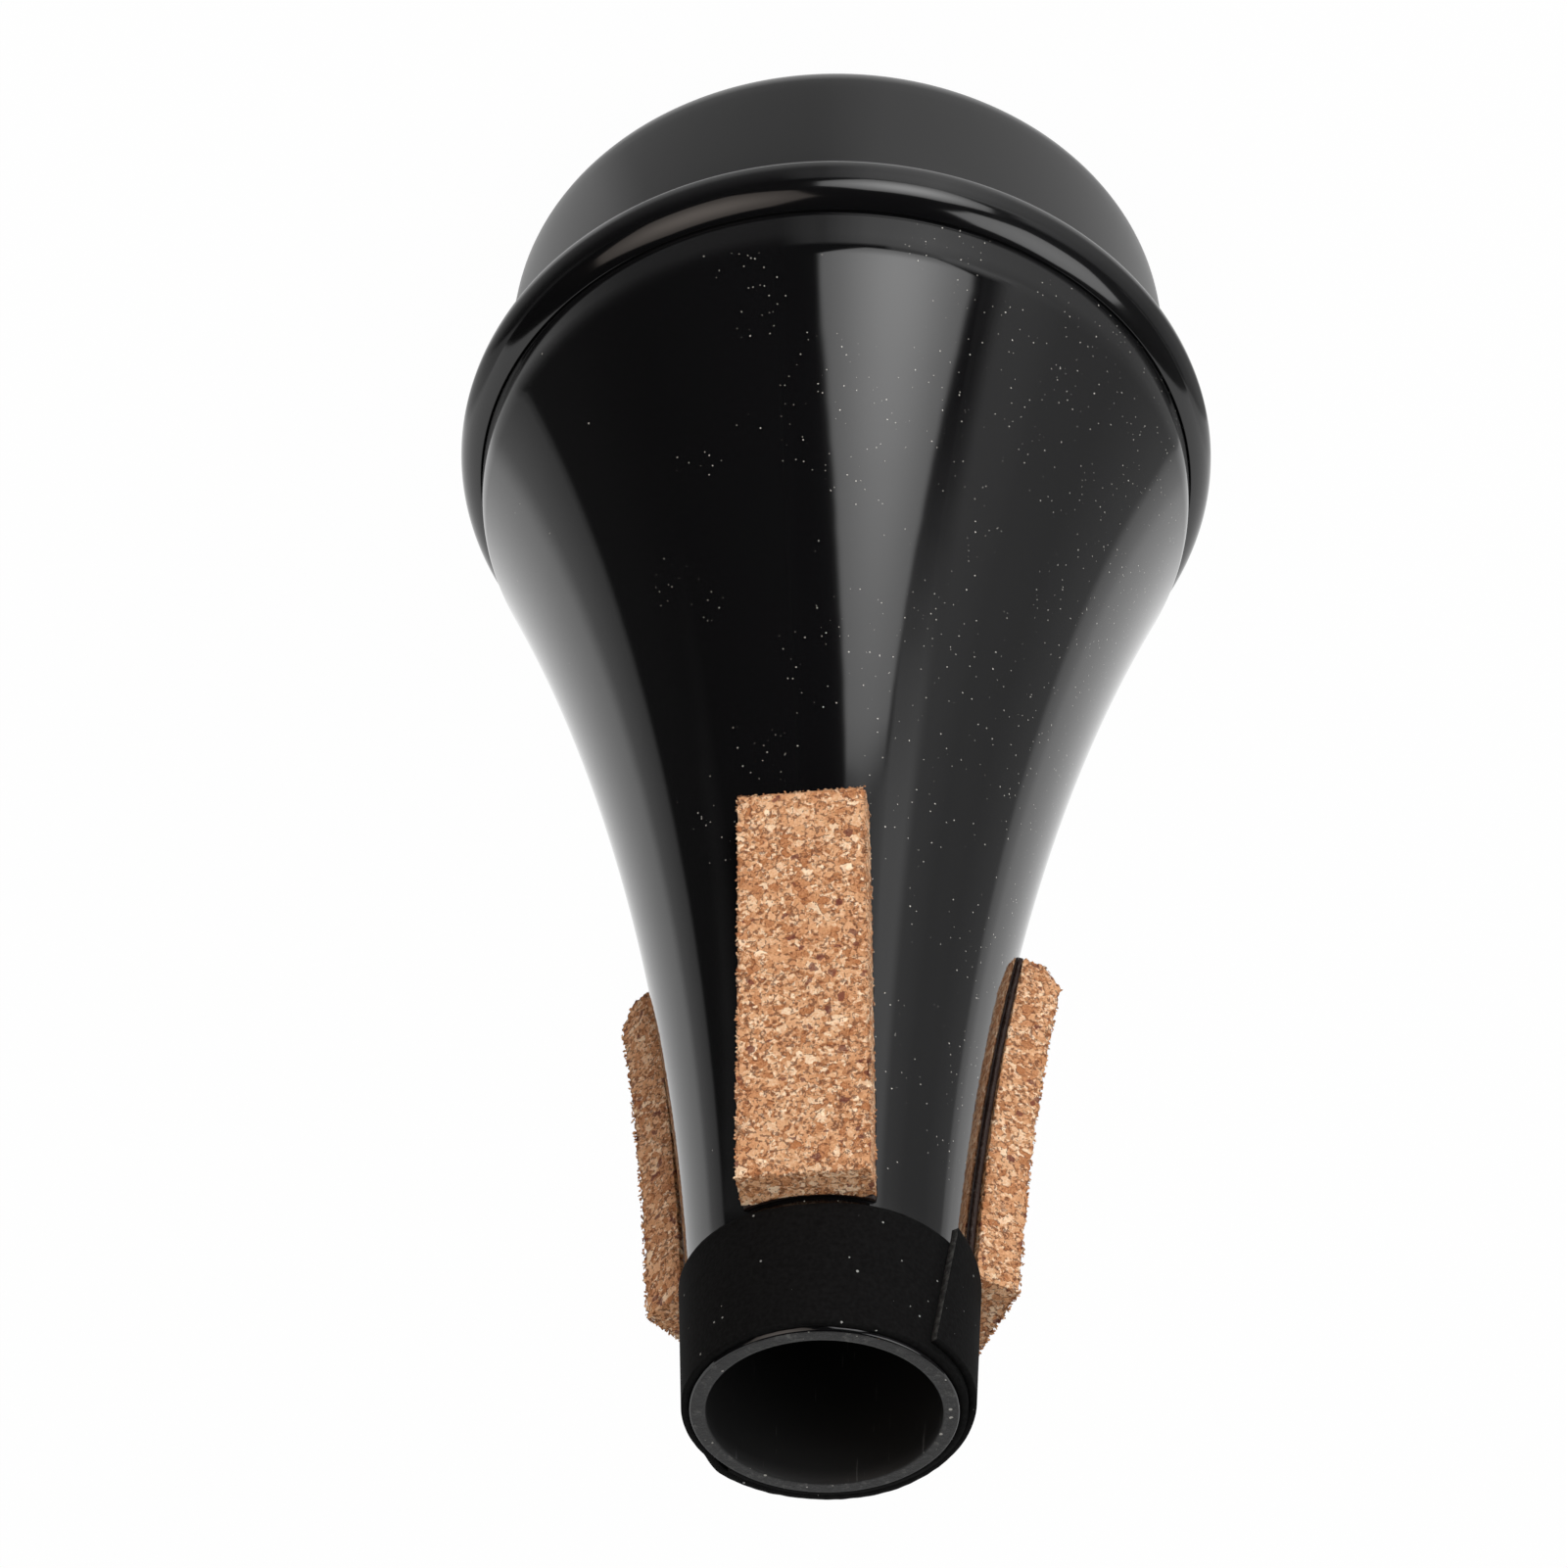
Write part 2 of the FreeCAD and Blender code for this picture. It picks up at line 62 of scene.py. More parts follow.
def linear(hex_colour):
    """An sRGB hex colour as the linear numbers that Blender's sockets take."""
    shares = [int(hex_colour[i : i + 2], 16) / 255 for i in (1, 3, 5)]
    return tuple(s / 12.92 if s <= 0.04045 else ((s + 0.055) / 1.055) ** 2.4 for s in shares) + (1.0,)


def add(tree, kind, inputs=None, stops=(), **settings):
    """One node with its settings. An input is a value or another node's output, and stops are a ramp's colours."""
    node = tree.nodes.new(kind)
    for name, value in settings.items():
        setattr(node, name, value)
    for name, value in (inputs or {}).items():
        if isinstance(value, bpy.types.NodeSocket):
            tree.links.new(value, node.inputs[name])
        else:
            node.inputs[name].default_value = value
    if stops:
        elements = node.color_ramp.elements
        while len(elements) < len(stops):
            elements.new(0.5)
        for element, (place, colour) in zip(elements, stops):
            element.position = place
            element.color = linear(colour)
    return node


def new_material(name):
    """A material that holds only its surface shader; returns the material, its tree and the shader."""
    material = bpy.data.materials.new(name)
    material.use_nodes = True
    tree = material.node_tree
    tree.nodes.clear()
    surface = add(tree, "ShaderNodeBsdfPrincipled")
    add(tree, "ShaderNodeOutputMaterial", {"Surface": surface.outputs["BSDF"]})
    return material, tree, surface


def finish_mesh(bm, name, materials, smooth=True):
    """The drawn millimetres become an object in metres at the origin."""
    bmesh.ops.scale(bm, vec=(MM, MM, MM), verts=bm.verts)
    mesh = bpy.data.meshes.new(name)
    bm.to_mesh(mesh)
    bm.free()
    piece = bpy.data.objects.new(name, mesh)
    bpy.context.scene.collection.objects.link(piece)
    for material in materials:
        mesh.materials.append(material)
    mesh.polygons.foreach_set("use_smooth", [smooth] * len(mesh.polygons))
    print(f"{name}: {len(mesh.polygons)} faces")
    return piece


def stand_for(piece, node):
    """The piece takes the place of one solid and that solid's finish."""
    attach(piece, "root")
    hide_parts(node)


# %% [markdown]
# ## Camera
#
# The photograph looks down on the standing mute at about 45 degrees from in front, and the picture is
# turned upside down, so the neck points to its lower edge. The lens is a short telephoto, about 93 mm on a
# 36 mm sensor: from half a metre it still makes the near neck look larger than it is.

# %% Camera
CAMERA_PLACE = (-0.03947, -0.31160, 0.39641)
CAMERA_TURN = (-44.823, 0.955, 172.786)
CAMERA_LENS = 93.41
camera = bpy.data.objects.new("camera", bpy.data.cameras.new("camera"))
camera.data.lens = CAMERA_LENS
camera.data.sensor_width = 36.0
camera.data.clip_start = 0.01
camera.location = CAMERA_PLACE
camera.rotation_euler = [math.radians(a) for a in CAMERA_TURN]
bpy.context.scene.collection.objects.link(camera)
bpy.context.scene.camera = camera
bpy.context.scene.view_settings.view_transform = "Standard"
print("camera looks from", CAMERA_PLACE)

# %% [markdown]
# ## Floor and page
#
# The photograph's background is a plain white page. The floor is a sheet of white paper, and both floor and
# room shine white only for the rays that look at them, straight, in a mirror or through glass. The rays that
# carry light from surface to surface meet ordinary paper and a dimmer room, so the white page doesn't light
# the object.

# %% Paper floor
AXIS_UP = (0, 0, 1)
FLOOR_HALF_WIDTH = 0.90
FLOOR_FRONT = -0.10
FLOOR_BACK = 1.30
PAPER_GLOW = 0.98


def looked_at(tree):
    """1 for a ray that looks at the thing, straight, in a mirror or through glass, and 0 for one that lights it."""
    path = add(tree, "ShaderNodeLightPath")
    seen = path.outputs["Is Camera Ray"]
    for ray in ("Is Glossy Ray", "Is Transmission Ray"):
        seen = add(tree, "ShaderNodeMath", {0: seen, 1: path.outputs[ray]}, operation="MAXIMUM").outputs[0]
    return seen


def white_where_seen(tree, surface):
    """Mixes a plain white page over a surface for the rays that look at it."""
    share = add(tree, "ShaderNodeMath", {0: looked_at(tree), 1: PAPER_GLOW}, operation="MULTIPLY")
    page = add(tree, "ShaderNodeEmission", {"Color": linear("#ffffff"), "Strength": 1.0})
    return add(tree, "ShaderNodeMixShader", {0: share.outputs[0], 1: surface.outputs["BSDF"], 2: page.outputs[0]})


def make_floor():
    """A sheet of white seamless paper, matt, and bright enough behind the mute to read as a white page."""
    material, tree, surface = new_material("white_seamless_paper")
    surface.inputs["Base Color"].default_value = linear("#f4f4f4")
    surface.inputs["Roughness"].default_value = 0.9
    tree.links.new(white_where_seen(tree, surface).outputs[0], tree.nodes["Material Output"].inputs["Surface"])
    bm = bmesh.new()
    bmesh.ops.create_grid(bm, x_segments=1, y_segments=1, size=0.5)
    bmesh.ops.scale(bm, vec=(2 * FLOOR_HALF_WIDTH / MM, (FLOOR_BACK - FLOOR_FRONT) / MM, 1), verts=bm.verts)
    bmesh.ops.translate(bm, vec=(0, (FLOOR_BACK + FLOOR_FRONT) / 2 / MM, 0), verts=bm.verts)
    finish_mesh(bm, "paper_floor", [material], smooth=False)


make_floor()

# %% [markdown]
# ## Tools for the studio
#
# Black gloss has hardly any colour of its own: what you see on it is the room. So the room is built like a
# small studio, from felt, eight-sided soft boxes and glowing sheets that light nothing and paint the table's
# light and shade into the reflections. Each is a stage piece that the camera can't see. A sheet is a straight
# edge swept round the mute, with flat coordinates from which its painted levels are worked out: one set round
# the mute, and one outwards from it.

# %% Felt, soft boxes, painted reflection sheets and lamps
ROOM_RADIUS = 1150.0
ROOM_FOOT = -1500.0
ROOM_TOP = 2600.0
SHEET_STEPS = 48
PANEL_MIDDLE = 0.05
PANEL_HEM = 0.92
PAINTED_REFLECTION_GLOW = 1.15


def swept_sheet(start, end, first, last):
    """A straight edge swept round the mute, with flat coordinates. Places are radius and height; angles start
    straight in front and grow towards +X, which is right for someone in front of the standing mute."""
    bm = bmesh.new()
    flat = bm.loops.layers.uv.new("flat")
    turn = math.radians(first - 90)
    ends = [bm.verts.new((r * math.cos(turn), r * math.sin(turn), z)) for r, z in (start, end)]
    edge = bm.edges.new(ends)
    bmesh.ops.spin(
        bm, geom=[*ends, edge], cent=(0, 0, 0), axis=AXIS_UP, angle=math.radians(last - first), steps=SHEET_STEPS
    )
    middle = math.radians((first + last) / 2 - 90)
    run = Vector((end[0] - start[0], end[1] - start[1]))
    for face in bm.faces:
        for loop in face.loops:
            place = loop.vert.co
            away = math.atan2(place.y, place.x) - middle
            away = math.degrees(math.atan2(math.sin(away), math.cos(away)))
            outward = Vector((math.hypot(place.x, place.y) - start[0], place.z - start[1]))
            loop[flat].uv = (away / (last - first) + 0.5, outward.dot(run) / run.length_squared)
    return bm


def set_aside(bm, name, material, lights=True):
    """Keeps a sheet or a panel out of the picture; one that lights nothing shows only in the gloss, as a painted
    reflection.
    """
    thing = finish_mesh(bm, name, [material], smooth=False)
    thing.visible_camera = False
    thing.visible_diffuse = lights
    thing.visible_shadow = lights


def felt(name, colour):
    """Wool felt: it takes nearly all light and has no shine at all, so the gloss shows a deep, even dark there."""
    material, tree, surface = new_material(name)
    surface.inputs["Base Color"].default_value = linear(colour)
    surface.inputs["Roughness"].default_value = 1.0
    surface.inputs["Specular IOR Level"].default_value = 0.0
    return material


def octagon_panel(name, turn, tilt, distance, half_width, half_height, radiance, colour, edge_level):
    """A soft box's eight-sided white cloth. It faces the mute and is brightest in its middle, so its reflection
    fades to the sides; turn and tilt say where it stands, in degrees."""
    material, tree, surface = new_material(f"{name}_diffuser")
    tree.nodes.remove(surface)
    place = add(tree, "ShaderNodeUVMap", uv_map="flat")
    away = add(tree, "ShaderNodeVectorMath", {0: place.outputs["UV"]}, operation="LENGTH")
    fall = add(
        tree,
        "ShaderNodeMapRange",
        {
            "Value": away.outputs["Value"],
            "From Min": PANEL_MIDDLE,
            "To Min": radiance,
            "To Max": radiance * edge_level,
        },
        interpolation_type="SMOOTHSTEP",
    )
    sides = add(tree, "ShaderNodeVectorMath", {0: place.outputs["UV"]}, operation="ABSOLUTE")
    sides = add(tree, "ShaderNodeSeparateXYZ", {0: sides.outputs[0]})
    straight = add(tree, "ShaderNodeMath", {0: sides.outputs["X"], 1: sides.outputs["Y"]}, operation="MAXIMUM")
    corner = add(tree, "ShaderNodeMath", {0: sides.outputs["X"], 1: sides.outputs["Y"]}, operation="ADD")
    corner = add(tree, "ShaderNodeMath", {0: corner.outputs[0], 1: math.sqrt(0.5)}, operation="MULTIPLY")
    out = add(tree, "ShaderNodeMath", {0: straight.outputs[0], 1: corner.outputs[0]}, operation="MAXIMUM")
    hem = add(
        tree,
        "ShaderNodeMapRange",
        {"Value": out.outputs[0], "From Min": 1.0, "From Max": PANEL_HEM},
        interpolation_type="SMOOTHSTEP",
    )
    strength = add(tree, "ShaderNodeMath", {0: fall.outputs[0], 1: hem.outputs[0]}, operation="MULTIPLY")
    glow = add(tree, "ShaderNodeEmission", {"Color": linear(colour), "Strength": strength.outputs[0]})
    tree.links.new(glow.outputs[0], tree.nodes["Material Output"].inputs["Surface"])

    bm = bmesh.new()
    flat = bm.loops.layers.uv.new("flat")
    bmesh.ops.create_circle(bm, cap_ends=True, segments=8, radius=1 / math.cos(math.pi / 8))
    bmesh.ops.rotate(bm, cent=(0, 0, 0), matrix=Matrix.Rotation(math.pi / 8, 3, "Z"), verts=bm.verts)
    for face in bm.faces:
        for loop in face.loops:
            loop[flat].uv = loop.vert.co.xy
    bmesh.ops.scale(bm, vec=(half_width, half_height, 1), verts=bm.verts)
    stand = Matrix.Rotation(math.radians(turn), 4, "Z") @ Matrix.Rotation(math.radians(90 - tilt), 4, "X")
    bmesh.ops.transform(bm, matrix=stand @ Matrix.Translation((0, 0, distance)), verts=bm.verts)
    set_aside(bm, name, material)


def painted_reflection_sheet(name, start, end, first, last, round_stops, outward_stops, soft=(0.0, 0.0, 0.0)):
    """A glowing sheet that lights nothing and shows in the gloss only: a painted reflection of the table's light
    and shade. Its stops are painted levels, first round the mute and then outwards from it, and its first, last
    and far edges fade over the soft shares of it."""
    material, tree, surface = new_material(f"{name}_paper")
    tree.nodes.remove(surface)
    place = add(tree, "ShaderNodeUVMap", uv_map="flat")
    split = add(tree, "ShaderNodeSeparateXYZ", {0: place.outputs["UV"]})
    round_level = add(tree, "ShaderNodeValToRGB", {0: split.outputs["X"]}, stops=round_stops)
    outward_level = add(tree, "ShaderNodeValToRGB", {0: split.outputs["Y"]}, stops=outward_stops)
    both = add(
        tree,
        "ShaderNodeVectorMath",
        {0: round_level.outputs[0], 1: outward_level.outputs[0]},
        operation="MULTIPLY",
    )
    # Painted reflection: the sheet glows at its levels and lights nothing, standing in for the table's light and
    # shade.
    shader = add(tree, "ShaderNodeEmission", {"Color": both.outputs[0], "Strength": PAINTED_REFLECTION_GLOW})
    for axis, edge, share in (("X", 0.0, soft[0]), ("X", 1.0, soft[1]), ("Y", 1.0, soft[2])):
        if share:
            inner = edge + share * (1 - 2 * edge)
            fade = add(
                tree,
                "ShaderNodeMapRange",
                {"Value": split.outputs[axis], "From Min": edge, "From Max": inner},
                interpolation_type="SMOOTHSTEP",
            )
            clear = add(tree, "ShaderNodeBsdfTransparent")
            shader = add(
                tree, "ShaderNodeMixShader", {0: fade.outputs[0], 1: clear.outputs[0], 2: shader.outputs[0]}
            )
    tree.links.new(shader.outputs[0], tree.nodes["Material Output"].inputs["Surface"])
    set_aside(swept_sheet(start, end, first, last), name, material, lights=False)


def lamp(name, place, target, width, height, radiance):
    """An area lamp whose face shines with a stated radiance, and that no mirror shows."""
    data = bpy.data.lights.new(name, "AREA")
    data.shape = "RECTANGLE"
    data.size = width
    data.size_y = height
    data.energy = radiance * width * height * math.pi
    obj = bpy.data.objects.new(name, data)
    obj.location = place
    look = (Vector(target) - Vector(place)).to_track_quat("-Z", "Y")
    obj.rotation_euler = look.to_euler()
    obj.visible_camera = False
    obj.visible_glossy = False
    bpy.context.scene.collection.objects.link(obj)


# %% [markdown]
# ## Felt, soft boxes and lamps
#
# An eight-sided soft box stands low in front and makes the long pale streak on the flare. Two softer panels
# hang higher, one at each side, and give the dim bands. Felt hides the rest of the front, which keeps the
# flare deep black beside the streak, and the white room behind draws the bright lines along both sides. Two
# area lamps that no mirror shows light the cork and the tape, one from beside the soft box and one from above.

# %% Felt, soft boxes and lamps
MUTE_MIDDLE = (0, 0, 0.08)
for felt_name, first, last, cloth, shade in (
    ("front_felt", -46, 88, "black_felt", "#242424"),
    ("side_felt", -113, -46, "grey_felt", "#6a6a6a"),
):
    wall = swept_sheet((ROOM_RADIUS, ROOM_FOOT), (ROOM_RADIUS, ROOM_TOP), first, last)
    set_aside(wall, felt_name, felt(cloth, shade))
octagon_panel(
    "soft_box",
    turn=-23.6,
    tilt=0.86,
    distance=1000,
    half_width=407,
    half_height=294,
    radiance=5.2,
    colour="#ffffff",
    edge_level=0.42,
)
octagon_panel(
    "side_panel_right",
    turn=30,
    tilt=28,
    distance=1000,
    half_width=500,
    half_height=460,
    radiance=2.0,
    colour="#fff1e6",
    edge_level=0.45,
)
octagon_panel(
    "side_panel_left",
    turn=-64,
    tilt=33,
    distance=1000,
    half_width=405,
    half_height=334,
    radiance=2.95,
    colour="#ffffff",
    edge_level=0.85,
)
lamp("front_fill", (-0.36, -0.83, 0.10), MUTE_MIDDLE, width=0.6, height=0.6, radiance=3.8)
lamp("top_fill", (0.0, -0.25, 1.25), MUTE_MIDDLE, width=0.8, height=0.8, radiance=1.9)

# %% [markdown]
# ## Graded cards
#
# The table round the mute isn't as white as the page, and the bead and the flare's foot mirror it. Fans of
# glowing sheet lie on it, light nothing and paint that reflection, with the table's light and shade in their
# levels: a narrow ring of painted contact shade at the mute's foot, dark ones on its right, lighter ones on its
# left, and a strip along each outer margin. Where two overlap, they lie at different heights, a fraction of a
# millimetre apart. Two more stand beyond the table, below the soft box, and paint the light of its spill.

# %% Painted reflection sheets
# Painted shade: the ring's darker levels stand for the mute's contact shade on the table, seen only in the gloss.
FOOT_SHADE_ROUND = (
    (0.0, "#d8d8d8"),
    (0.10, "#c8c8c8"),
    (0.216, "#bfbfbf"),
    (0.381, "#bfbfbf"),
    (0.429, "#a1a1a1"),
    (0.571, "#a1a1a1"),
    (0.608, "#c4c4c4"),
    (0.82, "#c8c8c8"),
    (1.0, "#dcdcdc"),
)
PLAIN = ((0.0, "#ffffff"), (1.0, "#ffffff"))
painted_reflection_sheet("painted_foot_shade_ring", (41, 0.5), (61, 0.5), -118, 150, FOOT_SHADE_ROUND, PLAIN, soft=(0.02, 0.02, 0.5))
# Painted reflection: these sheets paint the table's darker zone to the mute's right and its margins.
painted_reflection_sheet(
    "painted_dark_table",
    (41, 0.3),
    (241, 0.3),
    -2,
    82,
    ((0.0, "#9c9c9c"), (0.52, "#9c9c9c"), (0.67, "#b4b4b4"), (0.82, "#d8d8d8"), (1.0, "#d8d8d8")),
    (
        (0.0, "#fafafa"),
        (0.05, "#f0f0f0"),
        (0.1, "#bababa"),
        (0.2, "#9a9a9a"),
        (0.33, "#646464"),
        (0.5, "#484848"),
        (1.0, "#3c3c3c"),
    ),
    soft=(0.1, 0.04, 0.0),
)
painted_reflection_sheet(
    "painted_dark_side",
    (241, 0.3),
    (1100, 0.3),
    4,
    82,
    ((0.0, "#545454"), (0.57, "#545454"), (0.73, "#bcbcbc"), (0.93, "#c8c8c8"), (1.0, "#c8c8c8")),
    ((0.0, "#808080"), (1.0, "#606060")),
    soft=(0.07, 0.045, 0.0),
)
painted_reflection_sheet(
    "painted_left_margin",
    (41, 0.15),
    (1100, 0.15),
    70,
    100,
    ((0.0, "#949494"), (0.3, "#949494"), (1.0, "#c8c8c8")),
    PLAIN,
    soft=(0.0, 0.25, 0.0),
)
painted_reflection_sheet(
    "painted_right_margin",
    (41, 0.05),
    (1100, 0.05),
    -120,
    -104,
    ((0.0, "#e8e8e8"), (0.6, "#cacaca"), (1.0, "#c4c4c4")),
    PLAIN,
    soft=(0.3, 0.0, 0.0),
)
# Painted light: these levels paint the table where the soft box lights it.
LIT_ROUND = (
    (0.0, "#929292"),
    (0.248, "#929292"),
    (0.345, "#a2a2a2"),
    (0.477, "#b8b8b8"),
    (0.573, "#cccccc"),
    (0.698, "#ffffff"),
    (0.813, "#e8e8e8"),
    (0.899, "#949494"),
    (1.0, "#949494"),
)
painted_reflection_sheet(
    "painted_lit_table",
    (41, 0.15),
    (141, 0.15),
    -111,
    8,
    LIT_ROUND,
    ((0.0, "#cccccc"), (0.12, "#cccccc"), (0.28, "#e8e8e8"), (0.42, "#ffffff"), (1.0, "#ffffff")),
    soft=(0.03, 0.0, 0.25),
)
painted_reflection_sheet(
    "painted_lit_side",
    (116, 0.2),
    (700, 0.2),
    -111,
    -46,
    ((0.0, "#929292"), (0.39, "#929292"), (0.67, "#a6a6a6"), (1.0, "#dcdcdc")),
    ((0.0, "#ffffff"), (0.21, "#ffffff"), (0.34, "#b4b4b4"), (0.6, "#949494"), (1.0, "#949494")),
    soft=(0.055, 0.1, 0.1),
)
# Painted light: the soft box's spill below it, shown only in the gloss.
painted_reflection_sheet(
    "painted_box_spill",
    (1100, -726),
    (1100, -156),
    -58,
    -34,
    ((0.0, "#c0c0c0"), (0.5, "#ffffff"), (1.0, "#ffffff")),
    PLAIN,
    soft=(0.35, 0.1, 0.35),
)
painted_reflection_sheet(
    "painted_box_foot",
    (1100, -726),
    (1100, -296),
    -37,
    -19,
    ((0.0, "#f0f0f0"), (0.5, "#c4c4c4"), (1.0, "#c0c0c0")),
    PLAIN,
    soft=(0.1, 0.15, 0.03),
)

# %% [markdown]
# ## Ceiling and white room
#
# A felt ceiling keeps the shoulder and the top of the bead dark. Everything that no card covers is the white
# room, at full white where it is seen and dimmer where it lights the object.

# %% Ceiling and world
ROOM_LIGHT = 0.6
ceiling = bmesh.new()
bmesh.ops.create_circle(ceiling, cap_ends=True, segments=64, radius=ROOM_RADIUS)
bmesh.ops.translate(ceiling, vec=(0, 0, ROOM_TOP), verts=ceiling.verts)
set_aside(ceiling, "ceiling_felt", felt("ceiling_black_felt", "#242424"))

world = bpy.data.worlds.new("white_room")
bpy.context.scene.world = world
world.use_nodes = True
room = world.node_tree
room.nodes.clear()
room_level = add(room, "ShaderNodeMapRange", {"Value": looked_at(room), "To Min": ROOM_LIGHT, "To Max": 1.0})
white_wall = add(room, "ShaderNodeBackground", {"Color": linear("#ffffff"), "Strength": room_level.outputs[0]})
add(room, "ShaderNodeOutputWorld", {"Surface": white_wall.outputs[0]})
print("lit by the panels and the white room")

# %% [markdown]
# ## Drawing a turned profile
#
# The shell and the cap are bodies of revolution, so each is drawn as one line in the plane of radius and
# height and then spun round the axis. An arc of that line is itself a small spin: one point is turned about
# the arc's centre and leaves its path behind. This keeps every arc true, with no table of points.

# %% Profile tools
ACROSS = (0, 1, 0)


class Profile:
    """A line drawn point by point in the XZ plane, where x is the radius and z is the height."""

    def __init__(self, radius, height):
        self.bm = bmesh.new()
        self.first = self.last = self.bm.verts.new((radius, 0, height))

    def line(self, radius, height, cuts=0):
        """A straight run, cut into shorter edges where a finer mesh is wanted."""
        start = self.last.co.copy()
        for step in range(1, cuts + 2):
            place = start.lerp(Vector((radius, 0, height)), step / (cuts + 1))
            vert = self.bm.verts.new(place)
            self.bm.edges.new((self.last, vert))
            self.last = vert

    def arc(self, centre, degrees, steps):
        """Turns the last point about a centre; positive turns run against the clock."""
        made = bmesh.ops.spin(
            self.bm,
            geom=[self.last],
            cent=(centre[0], 0, centre[1]),
            axis=ACROSS,
            angle=math.radians(-degrees),
            steps=steps,
            use_duplicate=False,
        )
        self.last = next(item for item in made["geom_last"] if isinstance(item, bmesh.types.BMVert))

    def revolve(self, steps, close=True):
        """Spins the line round the axis, merges the seam and the poles and turns the faces outwards."""
        if close:
            self.bm.edges.new((self.last, self.first))
        geometry = self.bm.verts[:] + self.bm.edges[:]
        bmesh.ops.spin(
            self.bm, geom=geometry, cent=(0, 0, 0), axis=AXIS_UP, angle=2 * math.pi, steps=steps, use_merge=True
        )
        bmesh.ops.remove_doubles(self.bm, verts=self.bm.verts, dist=0.0005)
        bmesh.ops.recalc_face_normals(self.bm, faces=self.bm.faces)
        return self.bm


def polar(centre, radius, degrees):
    """A point of a circle in the plane of radius and height."""
    turn = math.radians(degrees)
    return (centre[0] + radius * math.cos(turn), centre[1] + radius * math.sin(turn))


# %% [markdown]
# ## The flare
#
# From the seam the shell swells over a rounded shoulder and then narrows on one very large arc to the neck,
# which is a slim cone. The two arcs meet without a kink. These are the solid's own sizes in millimetres,
# and the arcs' centres follow from them.

# %% Sizes of the flare
LENGTH = 165.0
WALL = 1.6
MOUTH_RADIUS = 12.85
NECK_RADIUS = 13.6
NECK_ROOT = 150.1
SEAM_RADIUS = 40.8
SEAM_HEIGHT = 31.25
SHOULDER_RADIUS = 10.0
BELLY_RISE = 3.5
SHOULDER_RISE = 7.4

seam_turn = math.degrees(math.asin(BELLY_RISE / SHOULDER_RADIUS))
shoulder_turn = math.degrees(math.asin((SHOULDER_RISE - BELLY_RISE) / SHOULDER_RADIUS))
shoulder_centre = (
    SEAM_RADIUS - SHOULDER_RADIUS * math.cos(math.radians(seam_turn)),
    SEAM_HEIGHT + BELLY_RISE,
)
shoulder_top = polar(shoulder_centre, SHOULDER_RADIUS, shoulder_turn)
chord_turn = math.degrees(math.atan2(shoulder_top[0] - NECK_RADIUS, NECK_ROOT - shoulder_top[1]))
neck_turn = 2 * chord_turn - shoulder_turn
flare_radius = (NECK_ROOT - shoulder_top[1]) / (
    math.sin(math.radians(shoulder_turn)) - math.sin(math.radians(neck_turn))
)
flare_centre = polar(shoulder_top, flare_radius, shoulder_turn)
print(f"flare arc: radius {flare_radius:.1f}, centre {flare_centre[0]:.1f}, {flare_centre[1]:.1f}")


def shell_radius(height):
    """Radius of the shell's outside at a height on the flare or the neck."""
    if height > NECK_ROOT:
        share = (height - NECK_ROOT) / (LENGTH - NECK_ROOT)
        return NECK_RADIUS + share * (MOUTH_RADIUS - NECK_RADIUS)
    return flare_centre[0] - math.sqrt(flare_radius**2 - (flare_centre[1] - height) ** 2)


# %% [markdown]
# ## Tools for patterns
#
# A pattern on a material is worked out in space, from the object's own coordinates. In millimetres, its
# scale is simply one over its real size. Dust, lint and pits are all specks: a cell pattern gives each cell a
# middle and a random colour, which picks the few cells that hold a speck and says how large it is.

# %% Pattern tools
PATCH_SCALE = 0.07
PATCH_LEAN = -0.006


def millimetres(tree):
    """The object's own coordinates in millimetres, so that a pattern's scale is one over its real size."""
    place = add(tree, "ShaderNodeTexCoord").outputs["Object"]
    return add(tree, "ShaderNodeVectorMath", {0: place, "Scale": 1 / MM}, operation="SCALE").outputs[0]


def specks(tree, place, per_mm, radius, share, patch=0.0):
    """A mask of small round specks of up to a radius in millimetres, in a share of the cells. With a patch level
    they gather in patches, more of them towards -X."""
    cells = add(tree, "ShaderNodeTexVoronoi", {"Vector": place, "Scale": per_mm})
    pick = add(tree, "ShaderNodeSeparateColor", {0: cells.outputs["Color"]})
    reach = add(tree, "ShaderNodeMath", {0: pick.outputs["Green"], 1: radius * per_mm}, operation="MULTIPLY")
    near = add(tree, "ShaderNodeMath", {0: cells.outputs["Distance"], 1: reach.outputs[0]}, operation="LESS_THAN")
    some = add(tree, "ShaderNodeMath", {0: pick.outputs["Red"], 1: 1 - share}, operation="GREATER_THAN")
    mask = add(tree, "ShaderNodeMath", {0: near.outputs[0], 1: some.outputs[0]}, operation="MULTIPLY")
    if patch:
        slow = add(tree, "ShaderNodeTexNoise", {"Vector": place, "Scale": PATCH_SCALE, "Detail": 2.0})
        across = add(tree, "ShaderNodeSeparateXYZ", {0: place})
        lean = add(tree, "ShaderNodeMath", {0: across.outputs["X"], 1: PATCH_LEAN}, operation="MULTIPLY")
        slow = add(tree, "ShaderNodeMath", {0: slow.outputs[0], 1: lean.outputs[0]}, operation="ADD")
        open_here = add(tree, "ShaderNodeMath", {0: slow.outputs[0], 1: patch}, operation="GREATER_THAN")
        mask = add(tree, "ShaderNodeMath", {0: mask.outputs[0], 1: open_here.outputs[0]}, operation="MULTIPLY")
    return mask.outputs[0]


def blend(tree, share, first, second):
    """Two colours mixed by a mask."""
    mixed = add(tree, "ShaderNodeMix", data_type="RGBA")
    for index, value in ((0, share), (6, first), (7, second)):
        if isinstance(value, bpy.types.NodeSocket):
            tree.links.new(value, mixed.inputs[index])
        else:
            mixed.inputs[index].default_value = value
    return mixed.outputs[2]


